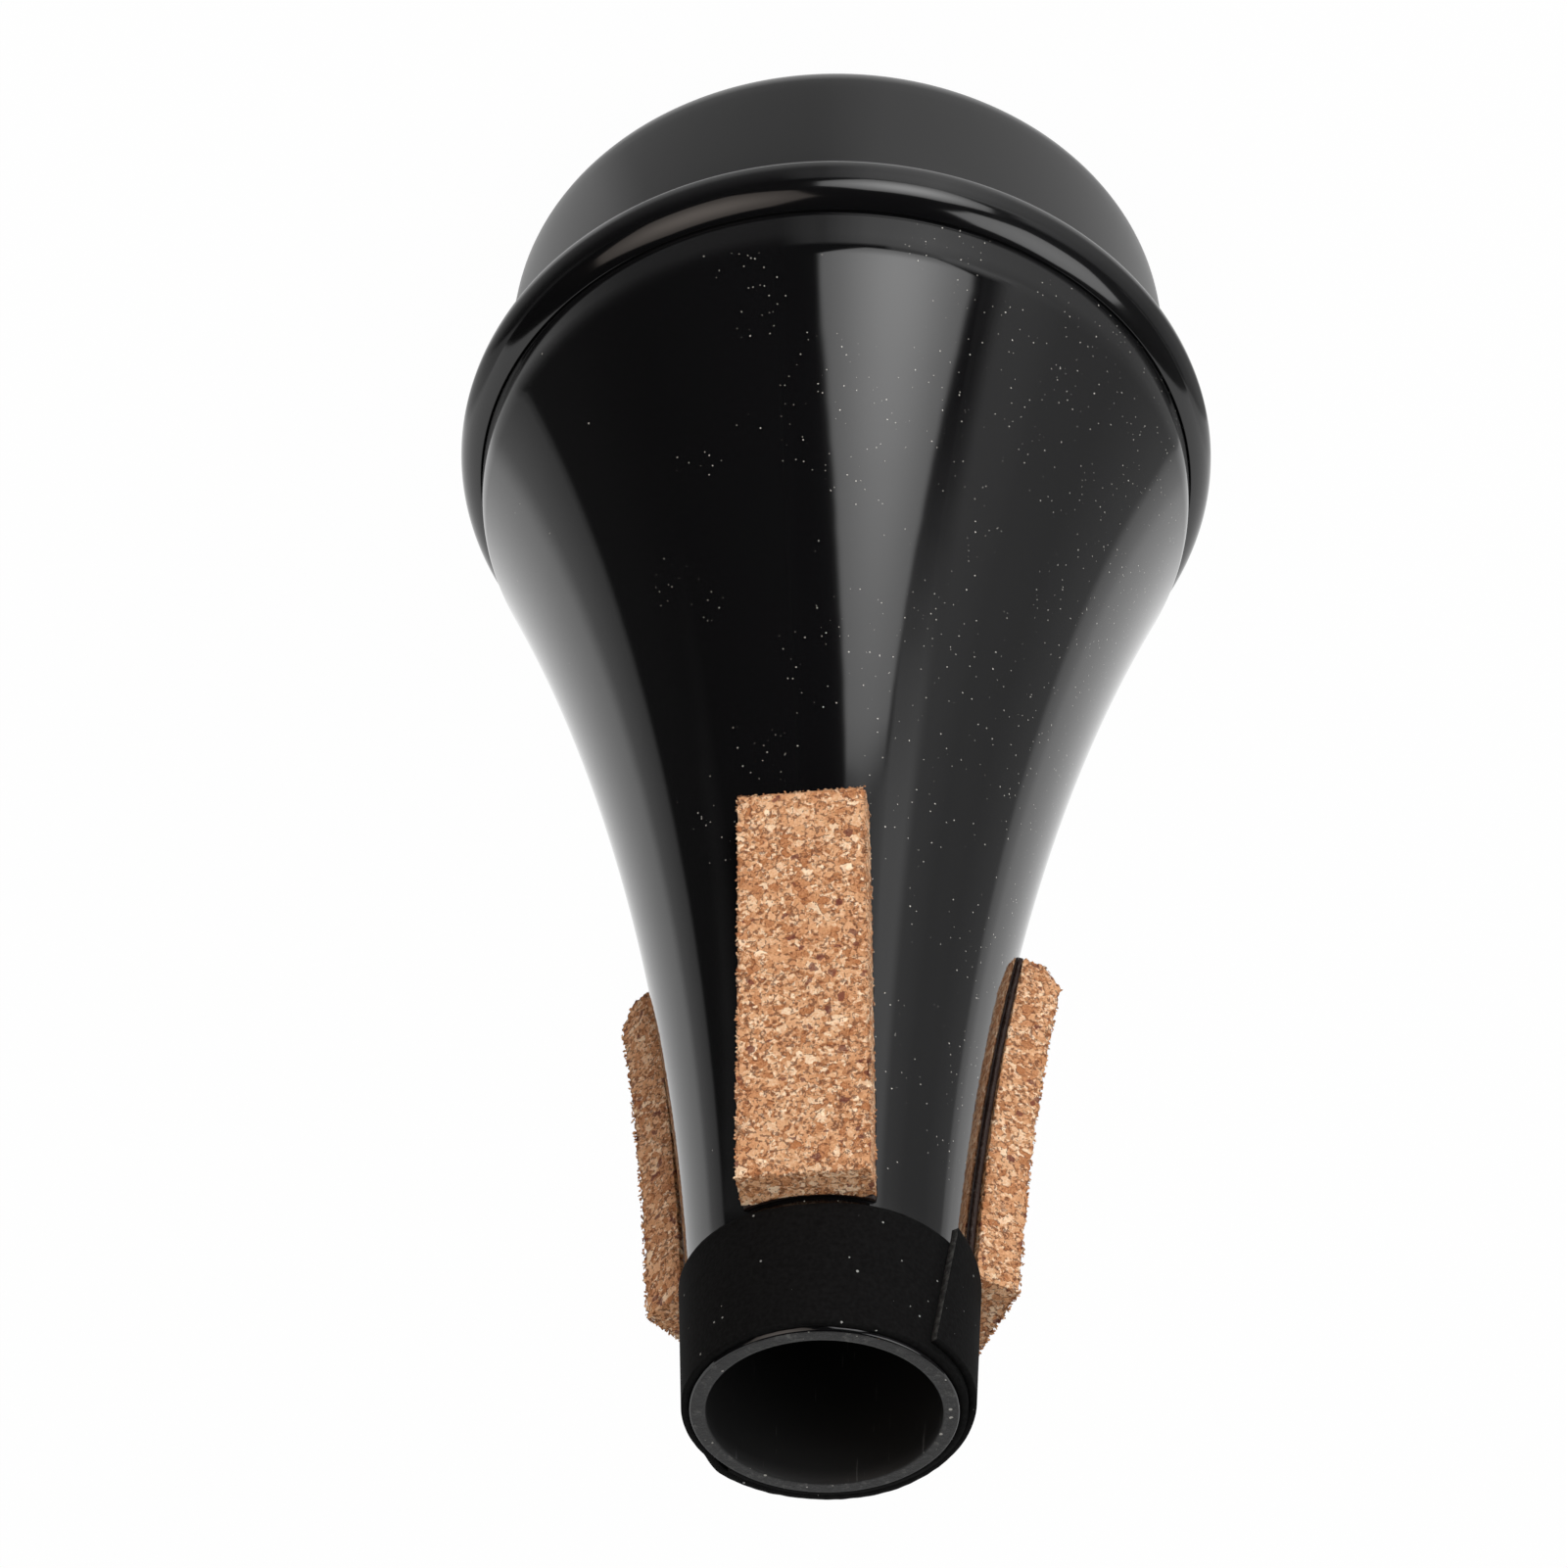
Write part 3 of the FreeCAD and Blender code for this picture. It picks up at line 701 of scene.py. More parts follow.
# %% [markdown]
# ## Black ABS: polished, sawn and drawn
#
# The shell is moulded ABS with a high polish. The plastic itself is nearly black; nearly all the light
# comes from the clear mirror on top, at ABS's index of 1.54. A real polish is never perfect: a long
# shallow waviness bends the streaks a little, and dust sits on it as tiny pale specks. The end of the neck
# was sawn off and left rough, and the bore was never polished.

# %% ABS finishes
BLACK_ABS = "#0a0a0b"
ABS_IOR = 1.54


def polished_abs():
    """Black plastic under a clear mirror, with dust specks of a tenth of a millimetre here and there. They are
    drawn a little larger than real dust, so that they show."""
    material, tree, surface = new_material("moulded_abs_polished")
    place = millimetres(tree)
    waves = add(tree, "ShaderNodeTexNoise", {"Vector": place, "Scale": 0.06, "Detail": 2.0})
    waviness = add(tree, "ShaderNodeBump", {"Height": waves.outputs[0], "Strength": 0.12, "Distance": 0.0002})
    dust = specks(tree, place, 2.2, 0.085, 0.34, patch=0.53)
    lint = specks(tree, place, 1.2, 0.11, 0.025)
    colour = blend(tree, dust, linear(BLACK_ABS), linear("#b4b1aa"))
    colour = blend(tree, lint, colour, linear("#bab7b0"))
    tree.links.new(colour, surface.inputs["Base Color"])
    surface.inputs["Roughness"].default_value = 0.07
    surface.inputs["IOR"].default_value = ABS_IOR
    tree.links.new(waviness.outputs[0], surface.inputs["Normal"])
    return material


def sawn_abs():
    """The end of the neck as a saw left it: grey, scuffed, with paler chips and a few crumbs of cork."""
    material, tree, surface = new_material("sawn_abs_edge")
    place = millimetres(tree)
    scuffs = add(tree, "ShaderNodeTexNoise", {"Vector": place, "Scale": 1.1, "Detail": 5.0, "Roughness": 0.75})
    greys = ((0.3, "#141414"), (0.55, "#1f1f1f"), (0.68, "#4a4a48"))
    scuffed = add(tree, "ShaderNodeValToRGB", {0: scuffs.outputs[0]}, stops=greys)
    colour = blend(tree, specks(tree, place, 1.6, 0.2, 0.12), scuffed.outputs[0], linear("#9a9892"))
    colour = blend(tree, specks(tree, place, 1.1, 0.3, 0.03), colour, linear("#b98357"))
    tree.links.new(colour, surface.inputs["Base Color"])
    rough = add(tree, "ShaderNodeBump", {"Height": scuffs.outputs[0], "Strength": 0.8, "Distance": 0.0002})
    tree.links.new(rough.outputs[0], surface.inputs["Normal"])
    surface.inputs["Roughness"].default_value = 0.5
    surface.inputs["IOR"].default_value = ABS_IOR
    surface.inputs["Specular IOR Level"].default_value = 0.28
    return material


def bore_abs():
    """The unpolished inside of the neck, with faint scratches that run along it."""
    material, tree, surface = new_material("bore_abs")
    place = millimetres(tree)
    drawn = add(tree, "ShaderNodeVectorMath", {0: place, 1: (2.6, 2.6, 0.10)}, operation="MULTIPLY")
    marks = add(tree, "ShaderNodeTexNoise", {"Vector": drawn.outputs[0], "Scale": 1.0, "Detail": 2.0})
    lines = add(tree, "ShaderNodeMapRange", {"Value": marks.outputs[0], "From Min": 0.68, "From Max": 0.74})
    colour = blend(tree, lines.outputs[0], linear("#1c1c1c"), linear("#464646"))
    tree.links.new(colour, surface.inputs["Base Color"])
    surface.inputs["Roughness"].default_value = 0.5
    surface.inputs["IOR"].default_value = ABS_IOR
    surface.inputs["Specular IOR Level"].default_value = 0.2
    return material


# %% [markdown]
# ## Shell
#
# The outline starts at the seam, where the foot stands a hair wider than the spigot and rises almost
# straight. It goes up the outside, over the mouth, down the inside at one wall's distance, and round the
# spigot that sits in the cap. The sawn end and the bore then get their own finishes, picked by which way
# each face looks.

# %% Shell piece
SHELL_FOOT_RADIUS = 41.55
FOOT_LEAN = 4.0
SPIGOT_OUTER = 39.2
SPIGOT_INNER = 37.7
SPIGOT_BOTTOM = 25.25
MOUTH_EASE = 0.15
BORE_EASE = 0.12
SHELL_STEPS = 288


def make_shell():
    """Spins the shell's outline and gives its sawn end and its bore their own materials."""
    inner = flare_radius + WALL
    bore_top = math.degrees(math.asin((flare_centre[1] - NECK_ROOT) / inner))
    bore_low = math.degrees(math.acos((flare_centre[0] - SPIGOT_INNER) / inner))

    outline = Profile(SHELL_FOOT_RADIUS, SEAM_HEIGHT)
    outline.line(SHELL_FOOT_RADIUS + 0.07, SEAM_HEIGHT + 1.0)
    outline.line(*polar(shoulder_centre, SHOULDER_RADIUS, FOOT_LEAN), cuts=3)
    outline.arc(shoulder_centre, shoulder_turn - FOOT_LEAN, 20)
    outline.arc(flare_centre, neck_turn - shoulder_turn, 60)
    outline.line(MOUTH_RADIUS, LENGTH - MOUTH_EASE, cuts=8)
    outline.line(MOUTH_RADIUS - MOUTH_EASE, LENGTH)
    outline.line(MOUTH_RADIUS - WALL + BORE_EASE, LENGTH, cuts=5)
    outline.line(MOUTH_RADIUS - WALL, LENGTH - BORE_EASE)
    outline.line(*polar(flare_centre, -inner, bore_top), cuts=8)
    outline.arc(flare_centre, bore_low - bore_top, 40)
    outline.line(SPIGOT_INNER, SPIGOT_BOTTOM)
    outline.line(SPIGOT_OUTER, SPIGOT_BOTTOM)
    outline.line(SPIGOT_OUTER, SEAM_HEIGHT)
    bm = outline.revolve(SHELL_STEPS)
    for face in bm.faces:
        middle = face.calc_center_median()
        if face.normal.z > 0.9 and middle.z > LENGTH - 1:
            face.material_index = 1
        elif face.normal.x * middle.x + face.normal.y * middle.y < 0:
            face.material_index = 2
    piece = finish_mesh(bm, "flared_shell", [polished_abs(), sawn_abs(), bore_abs()])
    stand_for(piece, "body_shell")


make_shell()

# %% [markdown]
# ## End cap
#
# The cap is moulded in the same plastic. Its side wall is left satin and has a soft lower edge, while the
# bead round its rim is polished with the shell after the two are joined. The bead's arc runs up to a narrow
# rim, just outside the shell's foot, and a very small round eases the corner between them. The centre of
# that round isn't known in advance: it lies at one distance from the bead's centre and at another from the
# rim, so the law of cosines gives it.

# %% End cap piece
BEAD_RADIUS = 4.72
BEAD_CENTRE = (39.65, 28.08)
BEAD_FOOT = (41.0, 23.56)
LIP_RADIUS = 0.15
RIM_EDGE = (41.70, 32.2)
COLLAR_TOP = 31.1
CAP_BASE_RADIUS = 39.7
CAP_EDGE = 4.8
COLLAR_BORE = 39.45
CAP_LEDGE = 37.45
CAP_INNER_BASE = 36.7
CAP_FLOOR = 2.0
CAP_STEPS = 288


def satin_abs():
    """Moulded ABS, satin on the side wall, where reflections blur to a soft grey, and polished on the bead."""
    material, tree, surface = new_material("moulded_abs_satin")
    place = add(tree, "ShaderNodeTexCoord")
    height = add(tree, "ShaderNodeSeparateXYZ", {0: place.outputs["Object"]})
    polish = add(
        tree,
        "ShaderNodeMapRange",
        {"Value": height.outputs["Z"], "From Min": 0.0225, "From Max": 0.0240, "To Min": 0.30, "To Max": 0.10},
    )
    surface.inputs["Base Color"].default_value = linear(BLACK_ABS)
    surface.inputs["IOR"].default_value = ABS_IOR
    tree.links.new(polish.outputs[0], surface.inputs["Roughness"])
    return material


def make_cap():
    """Spins the cap's outline, from the middle of its flat end round the bead and back inside."""
    span = math.hypot(BEAD_CENTRE[0] - RIM_EDGE[0], BEAD_CENTRE[1] - RIM_EDGE[1])
    away = math.degrees(math.atan2(BEAD_CENTRE[1] - RIM_EDGE[1], BEAD_CENTRE[0] - RIM_EDGE[0]))
    reach = BEAD_RADIUS - LIP_RADIUS
    corner = (LIP_RADIUS**2 - reach**2 - span**2) / (2 * reach * span)
    lip_turn = away + math.degrees(math.acos(corner))
    lip_centre = polar(BEAD_CENTRE, reach, lip_turn)
    foot_turn = math.degrees(math.atan2(BEAD_FOOT[1] - BEAD_CENTRE[1], BEAD_FOOT[0] - BEAD_CENTRE[0]))
    rim_turn = math.degrees(math.atan2(RIM_EDGE[1] - lip_centre[1], RIM_EDGE[0] - lip_centre[0])) % 360
    print(f"bead from {foot_turn:.1f} to {lip_turn:.1f} degrees, lip on to {rim_turn:.1f}")

    edge_lean = math.degrees(math.atan2(BEAD_FOOT[0] - CAP_BASE_RADIUS, BEAD_FOOT[1] - CAP_EDGE))
    edge_centre = (CAP_BASE_RADIUS - CAP_EDGE, CAP_EDGE)
    outline = Profile(0, 0)
    outline.line(edge_centre[0], 0, cuts=10)
    outline.arc(edge_centre, 90 - edge_lean, 14)
    outline.line(*BEAD_FOOT, cuts=10)
    outline.arc(BEAD_CENTRE, lip_turn - foot_turn, 36)
    outline.arc(lip_centre, rim_turn - lip_turn, 14)
    outline.line(RIM_EDGE[0], COLLAR_TOP)
    outline.line(COLLAR_BORE, COLLAR_TOP)
    outline.line(COLLAR_BORE, SPIGOT_BOTTOM)
    outline.line(CAP_LEDGE, SPIGOT_BOTTOM)
    outline.line(CAP_INNER_BASE, CAP_FLOOR)
    outline.line(0, CAP_FLOOR, cuts=4)
    piece = finish_mesh(outline.revolve(CAP_STEPS), "end_cap_moulding", [satin_abs()])
    stand_for(piece, "end_cap")


make_cap()

# %% [markdown]
# ## Cork strips
#
# Each strip is cut from a sheet of agglomerated cork and bent on to the flare. It starts as a flat block,
# cut into a fine grid. We shrink it where crumbs have come off its edges and stick loose crumbs along them,
# because a straight, clean edge gives a drawn cork away at once. Then we chamfer the corner that first meets
# the bell, and bend the strip round the flare's own centre. Its back is flat, so beside the middle it stands
# a little off the round shell. The noise that gives vectors draws on a seed, and without a fixed one every
# run would fray the cork another way.

# %% Cork blocks
CORK_WIDTH = 13.0
CORK_LENGTH = 44.5
CORK_DEPTH = 4.66
CORK_SINK = 0.5
CORK_GRID = 0.2
SIDE_BEVEL = 2.2
FRONT_BEVEL = 0.5
FRONT_AZIMUTH = -90.0
EDGE_REACH = 0.7
CRUMBS = 420
NOISE_SEED = 1
noise.seed_set(NOISE_SEED)


def gridded_block(sizes, grid):
    """A block whose faces are all cut into squares of about one grid size."""
    bm = bmesh.new()
    bmesh.ops.create_cube(bm, size=1.0)
    for axis, length in enumerate(sizes):
        run = Vector([float(other == axis) for other in range(3)])
        along = [e for e in bm.edges if abs((e.verts[0].co - e.verts[1].co).normalized().dot(run)) > 0.99]
        bmesh.ops.subdivide_edges(bm, edges=along, cuts=round(length / grid) - 1, use_grid_fill=True)
    bmesh.ops.scale(bm, vec=sizes, verts=bm.verts)
    return bm


def fray(bm, sizes, seed):
    """Takes crumbs off: a little all over the faces, and whole chips along the cut edges."""
    bmesh.ops.recalc_face_normals(bm, faces=bm.faces)
    offset = Vector((seed * 31.7, seed * 11.3, seed * 5.9))
    moves = []
    for vert in bm.verts:
        near = sorted(half / 2 - abs(co) for half, co in zip(sizes, vert.co))
        edge_share = max(0.0, 1 - near[1] / EDGE_REACH)
        place = vert.co + offset
        coarse = noise.noise(place * 1.1)
        fine = noise.noise(place * 3.1)
        chip = noise.cell((place + noise.noise_vector(place * 1.7) * 0.35) * 2.1)
        depth = 0.04 + 0.05 * fine + 0.03 * chip
        depth += edge_share * max(0.0, 0.06 + 0.20 * coarse + 0.16 * chip + 0.12 * fine)
        moves.append((vert, vert.normal * -max(0.0, depth)))
    for vert, move in moves:
        vert.co += move


def stick_crumbs(bm, sizes, seed, count):
    """Loose crumbs that still cling to the cut edges of the outer face and the ends."""
    pick = random.Random(seed)
    depth, width, length = (side / 2 for side in sizes)
    for _ in range(count):
        along = pick.uniform(-1, 1)
        side = pick.choice((-1, 1))
        if pick.random() < 0.75:
            place = (depth * pick.choice((1, 1, -0.6)), side * width, along * length)
        else:
            place = (depth, along * width, side * length)
        size = pick.uniform(0.07, 0.17)
        turn = Matrix.Rotation(pick.uniform(0, math.pi), 4, Vector([pick.uniform(-1, 1) for _ in range(3)]))
        shape = Matrix.Diagonal((pick.uniform(1.0, 2.4), pick.uniform(0.6, 1.2), pick.uniform(0.5, 1.0), 1))
        place = Matrix.Translation([co + pick.uniform(-0.1, 0.02) for co in place])
        bmesh.ops.create_icosphere(bm, subdivisions=1, radius=size, matrix=place @ turn @ shape)


def make_cork(name, azimuth, gap, bevel, seed, length=CORK_LENGTH):
    """A frayed block, bent on to the flare; the gap lies between its end and the neck's root."""
    sizes = (CORK_DEPTH, CORK_WIDTH, length)
    bm = gridded_block(sizes, CORK_GRID)
    fray(bm, sizes, seed)
    stick_crumbs(bm, sizes, seed, CRUMBS)
    high = NECK_ROOT - gap
    back = flare_radius + CORK_SINK
    high_turn = math.asin((flare_centre[1] - high) / back)
    low_turn = math.asin((flare_centre[1] - high + length) / back)
    for vert in bm.verts:
        depth = CORK_DEPTH / 2 - vert.co.x
        from_wide_end = vert.co.z + length / 2
        cut = max(0.0, bevel - from_wide_end)
        depth = cut + depth * (CORK_DEPTH - cut) / CORK_DEPTH
        turn = low_turn + (high_turn - low_turn) * from_wide_end / length
        reach = back - CORK_DEPTH + depth
        height = flare_centre[1] - reach * math.sin(turn)
        flat_out = flare_centre[0] - reach * math.cos(turn)
        round_out = math.sqrt((shell_radius(height) + CORK_SINK) ** 2 - vert.co.y**2)
        vert.co = Vector((max(flat_out, round_out), vert.co.y, height))
    bmesh.ops.rotate(bm, cent=(0, 0, 0), matrix=Matrix.Rotation(math.radians(azimuth), 3, "Z"), verts=bm.verts)
    bmesh.ops.recalc_face_normals(bm, faces=bm.faces)
    return finish_mesh(bm, name, [AGGLOMERATED_CORK])


# %% [markdown]
# ## Agglomerated cork
#
# Cork sheet is ground cork pressed with a binder. It shows pale chips of about a millimetre with finer crumbs
# between them, thin gaps where the binder shrank, small open pits, and a few bits of red-brown bark. The gaps
# and pits are painted dark brown, as painted shade where light doesn't reach into them. Two cell patterns give
# chips and crumbs, a slow noise says where the crumbs take over, and a fine noise bends and speckles them all,
# so that no cell looks drawn.

# %% Cork finish
CHIPS_PER_MM = 1.05
CRUMBS_PER_MM = 2.7


def cork_material():
    """Pressed cork, bare and dull: warm tans with painted shade in its gaps and pits, and hardly any shine."""
    material, tree, surface = new_material("agglomerated_cork")
    place = millimetres(tree)
    bend = add(tree, "ShaderNodeTexNoise", {"Vector": place, "Scale": 1.5, "Detail": 3.0, "Roughness": 0.7})
    bend = add(tree, "ShaderNodeVectorMath", {0: bend.outputs["Color"], "Scale": 0.75}, operation="SCALE")
    moved = add(tree, "ShaderNodeVectorMath", {0: place, 1: bend.outputs[0]}, operation="ADD").outputs[0]

    chips = add(tree, "ShaderNodeTexVoronoi", {"Vector": moved, "Scale": CHIPS_PER_MM})
    chip_pick = add(tree, "ShaderNodeSeparateColor", {0: chips.outputs["Color"]})
    crumbs = add(tree, "ShaderNodeTexVoronoi", {"Vector": moved, "Scale": CRUMBS_PER_MM})
    crumb_pick = add(tree, "ShaderNodeSeparateColor", {0: crumbs.outputs["Color"]})
    patchy = add(tree, "ShaderNodeTexNoise", {"Vector": place, "Scale": 0.8, "Detail": 1.0})
    crumbly = add(tree, "ShaderNodeMapRange", {"Value": patchy.outputs[0], "From Min": 0.46, "From Max": 0.52})
    tint = add(
        tree,
        "ShaderNodeMix",
        {"Factor": crumbly.outputs[0], "A": chip_pick.outputs["Red"], "B": crumb_pick.outputs["Red"]},
    )
    grain = add(tree, "ShaderNodeTexNoise", {"Vector": moved, "Scale": 4.5, "Detail": 4.0, "Roughness": 0.75})
    grain = add(
        tree,
        "ShaderNodeMapRange",
        {"Value": grain.outputs[0], "From Min": 0.25, "From Max": 0.75, "To Min": -0.42, "To Max": 0.42},
    )
    tint = add(tree, "ShaderNodeMath", {0: tint.outputs[0], 1: grain.outputs[0]}, operation="ADD", use_clamp=True)
    tans = add(
        tree,
        "ShaderNodeValToRGB",
        {0: tint.outputs[0]},
        stops=((0.0, "#ad6e42"), (0.18, "#cc8d5f"), (0.45, "#e0a576"), (0.75, "#efbe92"), (1.0, "#fbdfbe")),
    )

    chip_edges, crumb_edges = (
        add(tree, "ShaderNodeTexVoronoi", {"Vector": moved, "Scale": per_mm}, feature="DISTANCE_TO_EDGE")
        for per_mm in (CHIPS_PER_MM, CRUMBS_PER_MM)
    )
    gaps = add(tree, "ShaderNodeTexNoise", {"Vector": place, "Scale": 2.4, "Detail": 2.0})
    gap_width = add(
        tree,
        "ShaderNodeMapRange",
        {"Value": gaps.outputs[0], "From Min": 0.47, "From Max": 0.68, "To Min": 0.0, "To Max": 0.13},
    )
    chip_gap, crumb_gap = (
        add(
            tree,
            "ShaderNodeMath",
            {0: near.outputs["Distance"], 1: gap_width.outputs[0]},
            operation="LESS_THAN",
        )
        for near in (chip_edges, crumb_edges)
    )
    crumb_gap = add(tree, "ShaderNodeMath", {0: crumb_gap.outputs[0], 1: crumbly.outputs[0]}, operation="MULTIPLY")
    gap = add(tree, "ShaderNodeMath", {0: chip_gap.outputs[0], 1: crumb_gap.outputs[0]}, operation="MAXIMUM")
    pits = specks(tree, moved, 2.6, 0.17, 0.33)
    low = add(tree, "ShaderNodeMath", {0: gap.outputs[0], 1: pits}, operation="MAXIMUM")
    # Painted shade: the gaps and pits are darkened in the colour, for the shade that falls into them.
    gap_shade_share = add(tree, "ShaderNodeMath", {0: low.outputs[0], 1: 0.72}, operation="MULTIPLY")
    colour = blend(tree, gap_shade_share.outputs[0], tans.outputs[0], linear("#6a3620"))
    bark = add(tree, "ShaderNodeTexVoronoi", {"Vector": moved, "Scale": 1.5})
    bark_pick = add(tree, "ShaderNodeSeparateColor", {0: bark.outputs["Color"]})
    bark_share = add(
        tree,
        "ShaderNodeMapRange",
        {"Value": bark_pick.outputs["Green"], "From Min": 0.972, "From Max": 0.974, "To Max": 0.75},
    )
    colour = blend(tree, bark_share.outputs[0], colour, linear("#6d2f2a"))
    tree.links.new(colour, surface.inputs["Base Color"])
    surface.inputs["Roughness"].default_value = 0.75
    surface.inputs["Specular IOR Level"].default_value = 0.35

    drop = add(tree, "ShaderNodeMath", {0: low.outputs[0], 1: -1.0}, operation="MULTIPLY")
    height = add(tree, "ShaderNodeMath", {0: drop.outputs[0], 1: tint.outputs[0]}, operation="ADD")
    relief = add(tree, "ShaderNodeBump", {"Height": height.outputs[0], "Strength": 0.9, "Distance": 0.00016})
    tree.links.new(relief.outputs[0], surface.inputs["Normal"])
    return material


AGGLOMERATED_CORK = cork_material()
print("cork chips of about", round(1 / CHIPS_PER_MM, 2), "mm")

# %% [markdown]
# ## The three strips
#
# The strips stand about 120 degrees apart, as a hand glued them. Each is given its azimuth, the gap to the
# neck's root, the chamfer of its wide end, a seed for its crumbs, and its length.

# %% Three corks
CORK_PLACES = {
    "front": (FRONT_AZIMUTH + 0.3, 0.3, CORK_LENGTH + 1.1),
    "right": (FRONT_AZIMUTH + 124.0, 2.0, CORK_LENGTH),
    "left": (FRONT_AZIMUTH - 117.5, 0.4, CORK_LENGTH),
}
for side, bevel, seed in (("front", FRONT_BEVEL, 3), ("right", SIDE_BEVEL, 5), ("left", SIDE_BEVEL, 8)):
    azimuth, gap, length = CORK_PLACES[side]
    stand_for(make_cork(f"cork_{side}", azimuth, gap, bevel, seed, length), f"cork_strip_{side}")

# %% [markdown]
# ## Glue and cement
#
# Under each cork strip lies a film of brown contact adhesive, half a millimetre thick, that fills the gap to
# the round shell. It reaches almost to the strip's edges, where the real gap stands open and in shade, so its
# dark brown there is painted shade and shows as a dark line beside the strip. A ring of cement holds the shell
# in the cap; its solid is right as it is, so it only gets a finish.

# %% Glue and cement
GLUE_FILM = 0.5
GLUE_GRID = 0.4
GLUE_INSET = 0.2


def set_glue(name, colour, roughness):
    """A cured adhesive: dark, uneven, with a dull shine."""
    material, tree, surface = new_material(name)
    place = millimetres(tree)
    uneven = add(tree, "ShaderNodeTexNoise", {"Vector": place, "Scale": 1.8, "Detail": 3.0})
    relief = add(tree, "ShaderNodeBump", {"Height": uneven.outputs[0], "Strength": 0.8, "Distance": 0.0003})
    surface.inputs["Base Color"].default_value = linear(colour)
    surface.inputs["Roughness"].default_value = roughness
    tree.links.new(relief.outputs[0], surface.inputs["Normal"])
    return material


def make_glue(name, node, azimuth, gap, length):
    """A thin block, wrapped round the shell under its cork strip, with uneven edges."""
    sizes = (GLUE_FILM, CORK_WIDTH - GLUE_INSET, length - 1.5 * GLUE_INSET)
    bm = gridded_block(sizes, GLUE_GRID)
    for vert in bm.verts:
        height = NECK_ROOT - gap - length / 2 + vert.co.z
        away = GLUE_FILM / 2 + 0.01 + vert.co.x * 0.96
        side = vert.co.y * (1 + 0.02 * noise.noise(Vector((height * 0.9, azimuth, 0))))
        out = math.sqrt((shell_radius(height) + away) ** 2 - side**2)
        vert.co = Vector((out, side, height))
    bmesh.ops.rotate(bm, cent=(0, 0, 0), matrix=Matrix.Rotation(math.radians(azimuth), 3, "Z"), verts=bm.verts)
    bmesh.ops.recalc_face_normals(bm, faces=bm.faces)
    stand_for(finish_mesh(bm, name, [ADHESIVE_AND_GAP_SHADE]), node)


# Painted shade: the adhesive's dark brown along the strip's edges stands for the shade in the open gap there.
ADHESIVE_AND_GAP_SHADE = set_glue("contact_adhesive_and_gap_shade", "#24140d", 0.45)
for side, place in CORK_PLACES.items():
    make_glue(f"glue_{side}", f"cork_glue_{side}", *place)
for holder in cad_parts["cap_cement"].material_slots:
    holder.material = set_glue("solvent_cement", "#1b1714", 0.3)

# %% [markdown]
# ## Neck tape
#
# One strip of black cloth tape is wound round the neck, a full turn and then nearly half of another. It is
# drawn flat, as a fine grid, then rolled up: where it passes its own start, it climbs on to the first layer.
# The second layer lies a little lower, and the loose end is cut at a slant. Its cut faces are picked by
# which way they look, and show the pale threads.

# %% Tape
TAPE_THICKNESS = 0.8
TAPE_START = 40.0
TAPE_TOP = 164.7
TAPE_LOW = 150.3
TAPE_TAIL_LOW = 206.1 + 360
TAPE_TAIL_HIGH = 217.1 + 360
TAPE_RAMP = 16.0
TAPE_ROWS = 60
TAPE_COLUMNS = 800
TAPE_CLEARANCE = 0.02
TAPE_AIR = 0.06


def neck_at(height):
    """Radius of the neck's cone, also where the tape hangs just below its root."""
    return shell_radius(max(height, NECK_ROOT))


def tape_low(turn):
    """Height of the tape's lower edge at a turn, a little wavy as a hand lays it."""
    wave = 0.25 * noise.noise(Vector((turn / 30, 2.3, 0))) + 0.05 * noise.noise(Vector((turn / 3, 7.1, 0)))
    rise = 0.5 * math.exp(-(((turn - 268) / 28) ** 2))
    drop = max(0.0, (turn - 520) / 60) ** 2 * 2.6
    return TAPE_LOW + 0.3 + wave + rise - drop


def tape_top(turn):
    """Height of the tape's upper edge; the second layer was laid a little short of the mouth."""
    wave = 0.06 * noise.noise(Vector((turn / 4, 5.7, 0)))
    return TAPE_TOP - 0.1 + wave - 0.9 * min(1.0, max(0.0, (turn - 470) / 60))


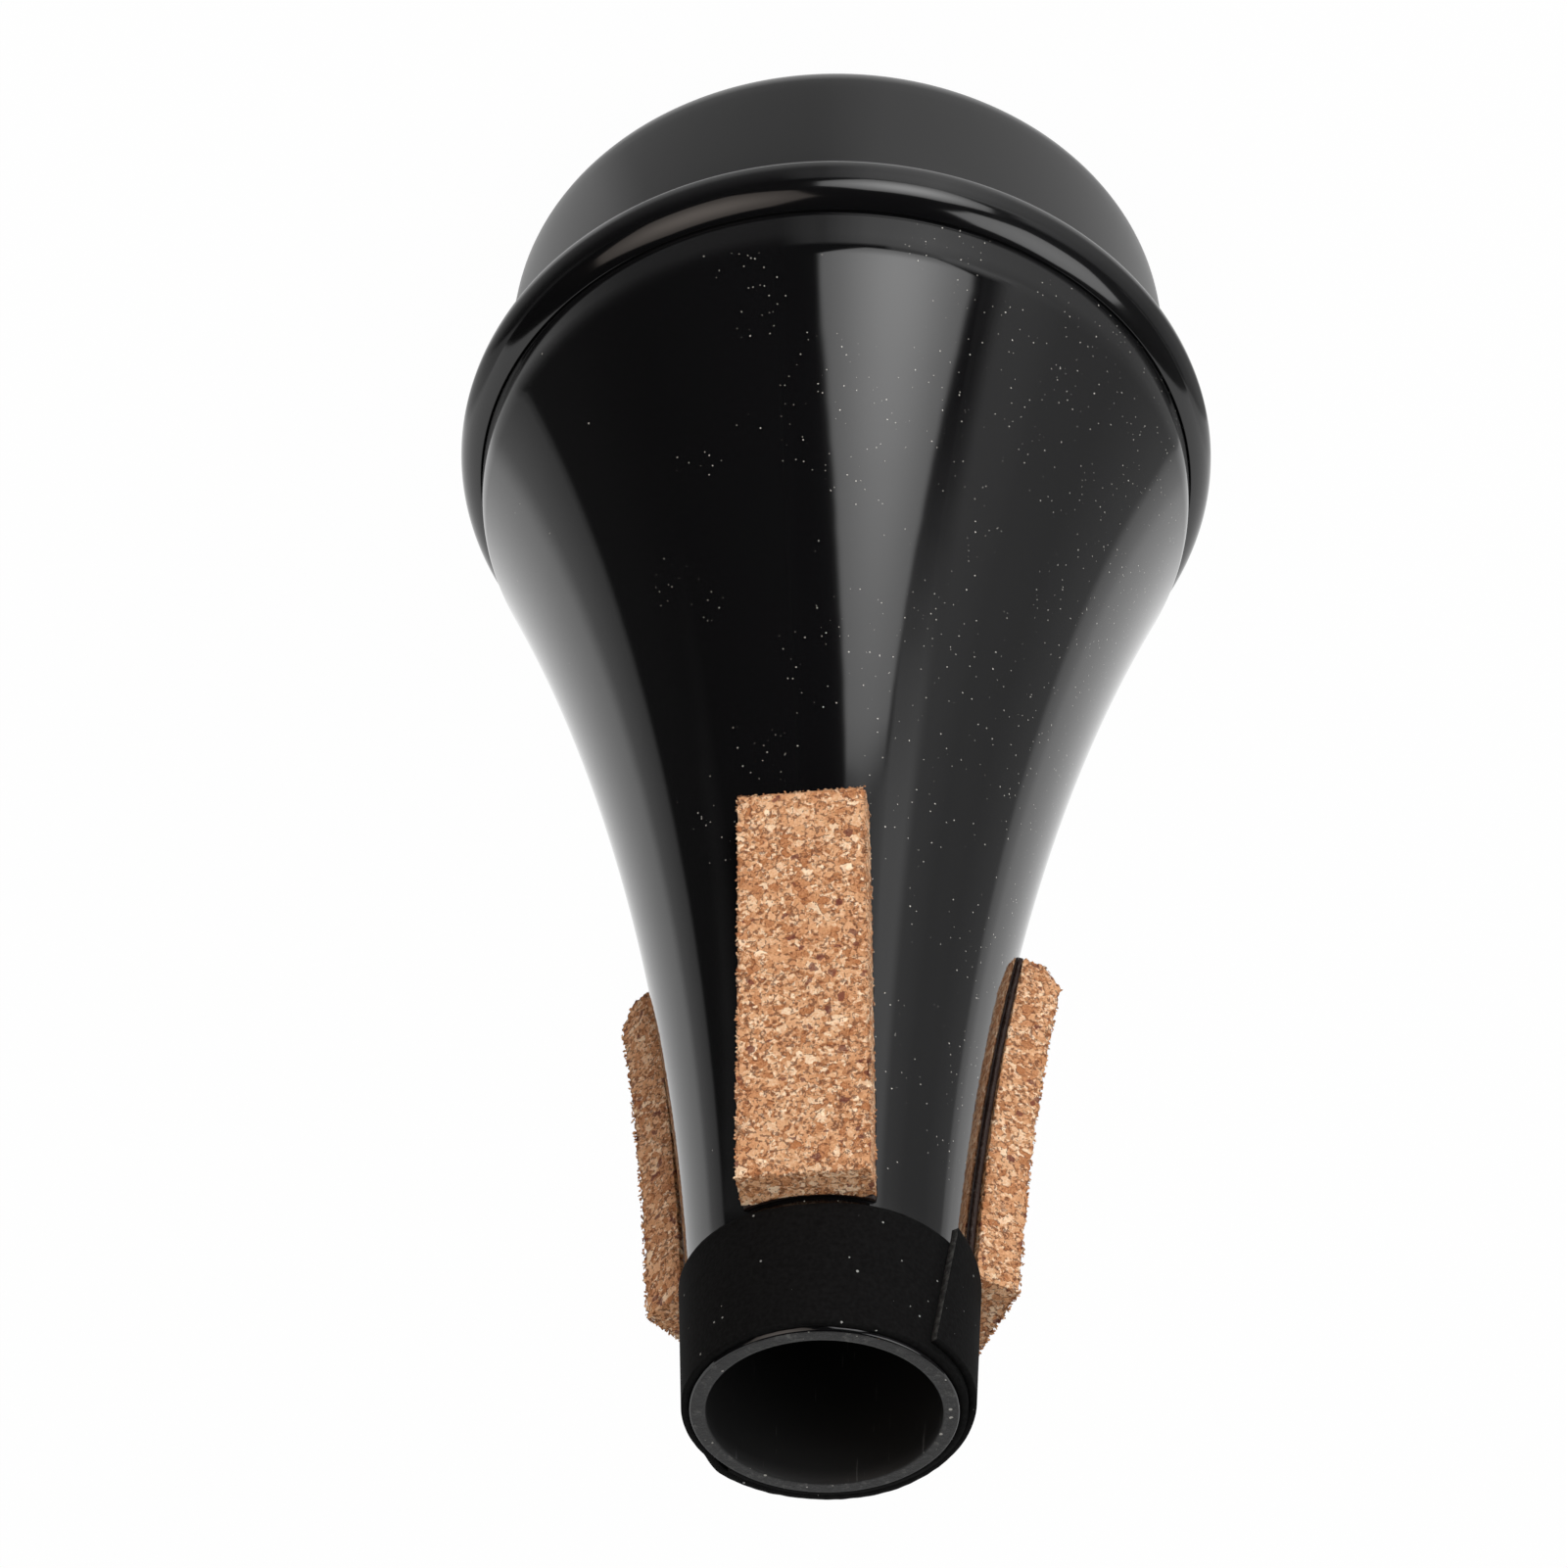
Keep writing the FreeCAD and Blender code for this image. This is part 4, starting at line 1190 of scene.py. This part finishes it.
def make_tape():
    """Rolls the flat grid up round the neck, gives it its thickness and marks its cut ends."""
    bm = bmesh.new()
    bmesh.ops.create_grid(bm, x_segments=TAPE_COLUMNS, y_segments=TAPE_ROWS, size=0.5)
    for vert in bm.verts:
        along = vert.co.x + 0.5
        up = vert.co.y + 0.5
        end = TAPE_TAIL_LOW + up * (TAPE_TAIL_HIGH - TAPE_TAIL_LOW)
        turn = TAPE_START + along * (end - TAPE_START)
        low = tape_low(turn)
        height = low + up * (tape_top(turn) - low)
        climb = min(1.0, max(0.0, (turn - TAPE_START - 360 + TAPE_RAMP) / TAPE_RAMP))
        radius = neck_at(height) + TAPE_THICKNESS * (climb * climb * (3 - 2 * climb)) + TAPE_CLEARANCE
        turn = math.radians(turn)
        vert.co = Vector((radius * math.cos(turn), radius * math.sin(turn), height))
    bmesh.ops.recalc_face_normals(bm, faces=bm.faces)
    if sum(f.normal.dot(Vector((f.calc_center_median().x, f.calc_center_median().y, 0))) for f in bm.faces) < 0:
        bmesh.ops.reverse_faces(bm, faces=bm.faces)
    bmesh.ops.solidify(bm, geom=bm.faces[:], thickness=-(TAPE_THICKNESS - TAPE_AIR))
    for face in bm.faces:
        middle = face.calc_center_median()
        outward = Vector((middle.x, middle.y, 0)).normalized()
        if abs(face.normal.dot(Vector((-outward.y, outward.x, 0)))) > 0.7:
            face.material_index = 1
    piece = finish_mesh(bm, "neck_tape", [cloth_tape(), cut_cloth()])
    stand_for(piece, "neck_wrap")


def cloth_tape():
    """Matt black cloth tape: hardly any shine, a faint grain, and white lint stuck to it."""
    material, tree, surface = new_material("black_cloth_tape")
    place = millimetres(tree)
    grain = add(tree, "ShaderNodeTexNoise", {"Vector": place, "Scale": 2.5, "Detail": 3.0})
    cloth = add(tree, "ShaderNodeValToRGB", {0: grain.outputs[0]}, stops=((0.3, "#080808"), (0.7, "#111111")))
    colour = blend(tree, specks(tree, place, 1.3, 0.15, 0.16), cloth.outputs[0], linear("#8d8d8a"))
    tree.links.new(colour, surface.inputs["Base Color"])
    surface.inputs["Roughness"].default_value = 0.9
    surface.inputs["Specular IOR Level"].default_value = 0.08
    relief = add(tree, "ShaderNodeBump", {"Height": grain.outputs[0], "Strength": 0.5, "Distance": 0.0001})
    tree.links.new(relief.outputs[0], surface.inputs["Normal"])
    return material


def cut_cloth():
    """The cut end of the tape, where the threads stand out pale."""
    material, tree, surface = new_material("cut_cloth_threads")
    place = millimetres(tree)
    threads = add(tree, "ShaderNodeTexNoise", {"Vector": place, "Scale": 2.2, "Detail": 4.0})
    greys = ((0.4, "#0e0e0e"), (0.66, "#363634"))
    cloth = add(tree, "ShaderNodeValToRGB", {0: threads.outputs[0]}, stops=greys)
    tree.links.new(cloth.outputs[0], surface.inputs["Base Color"])
    surface.inputs["Roughness"].default_value = 1.0
    return material


make_tape()
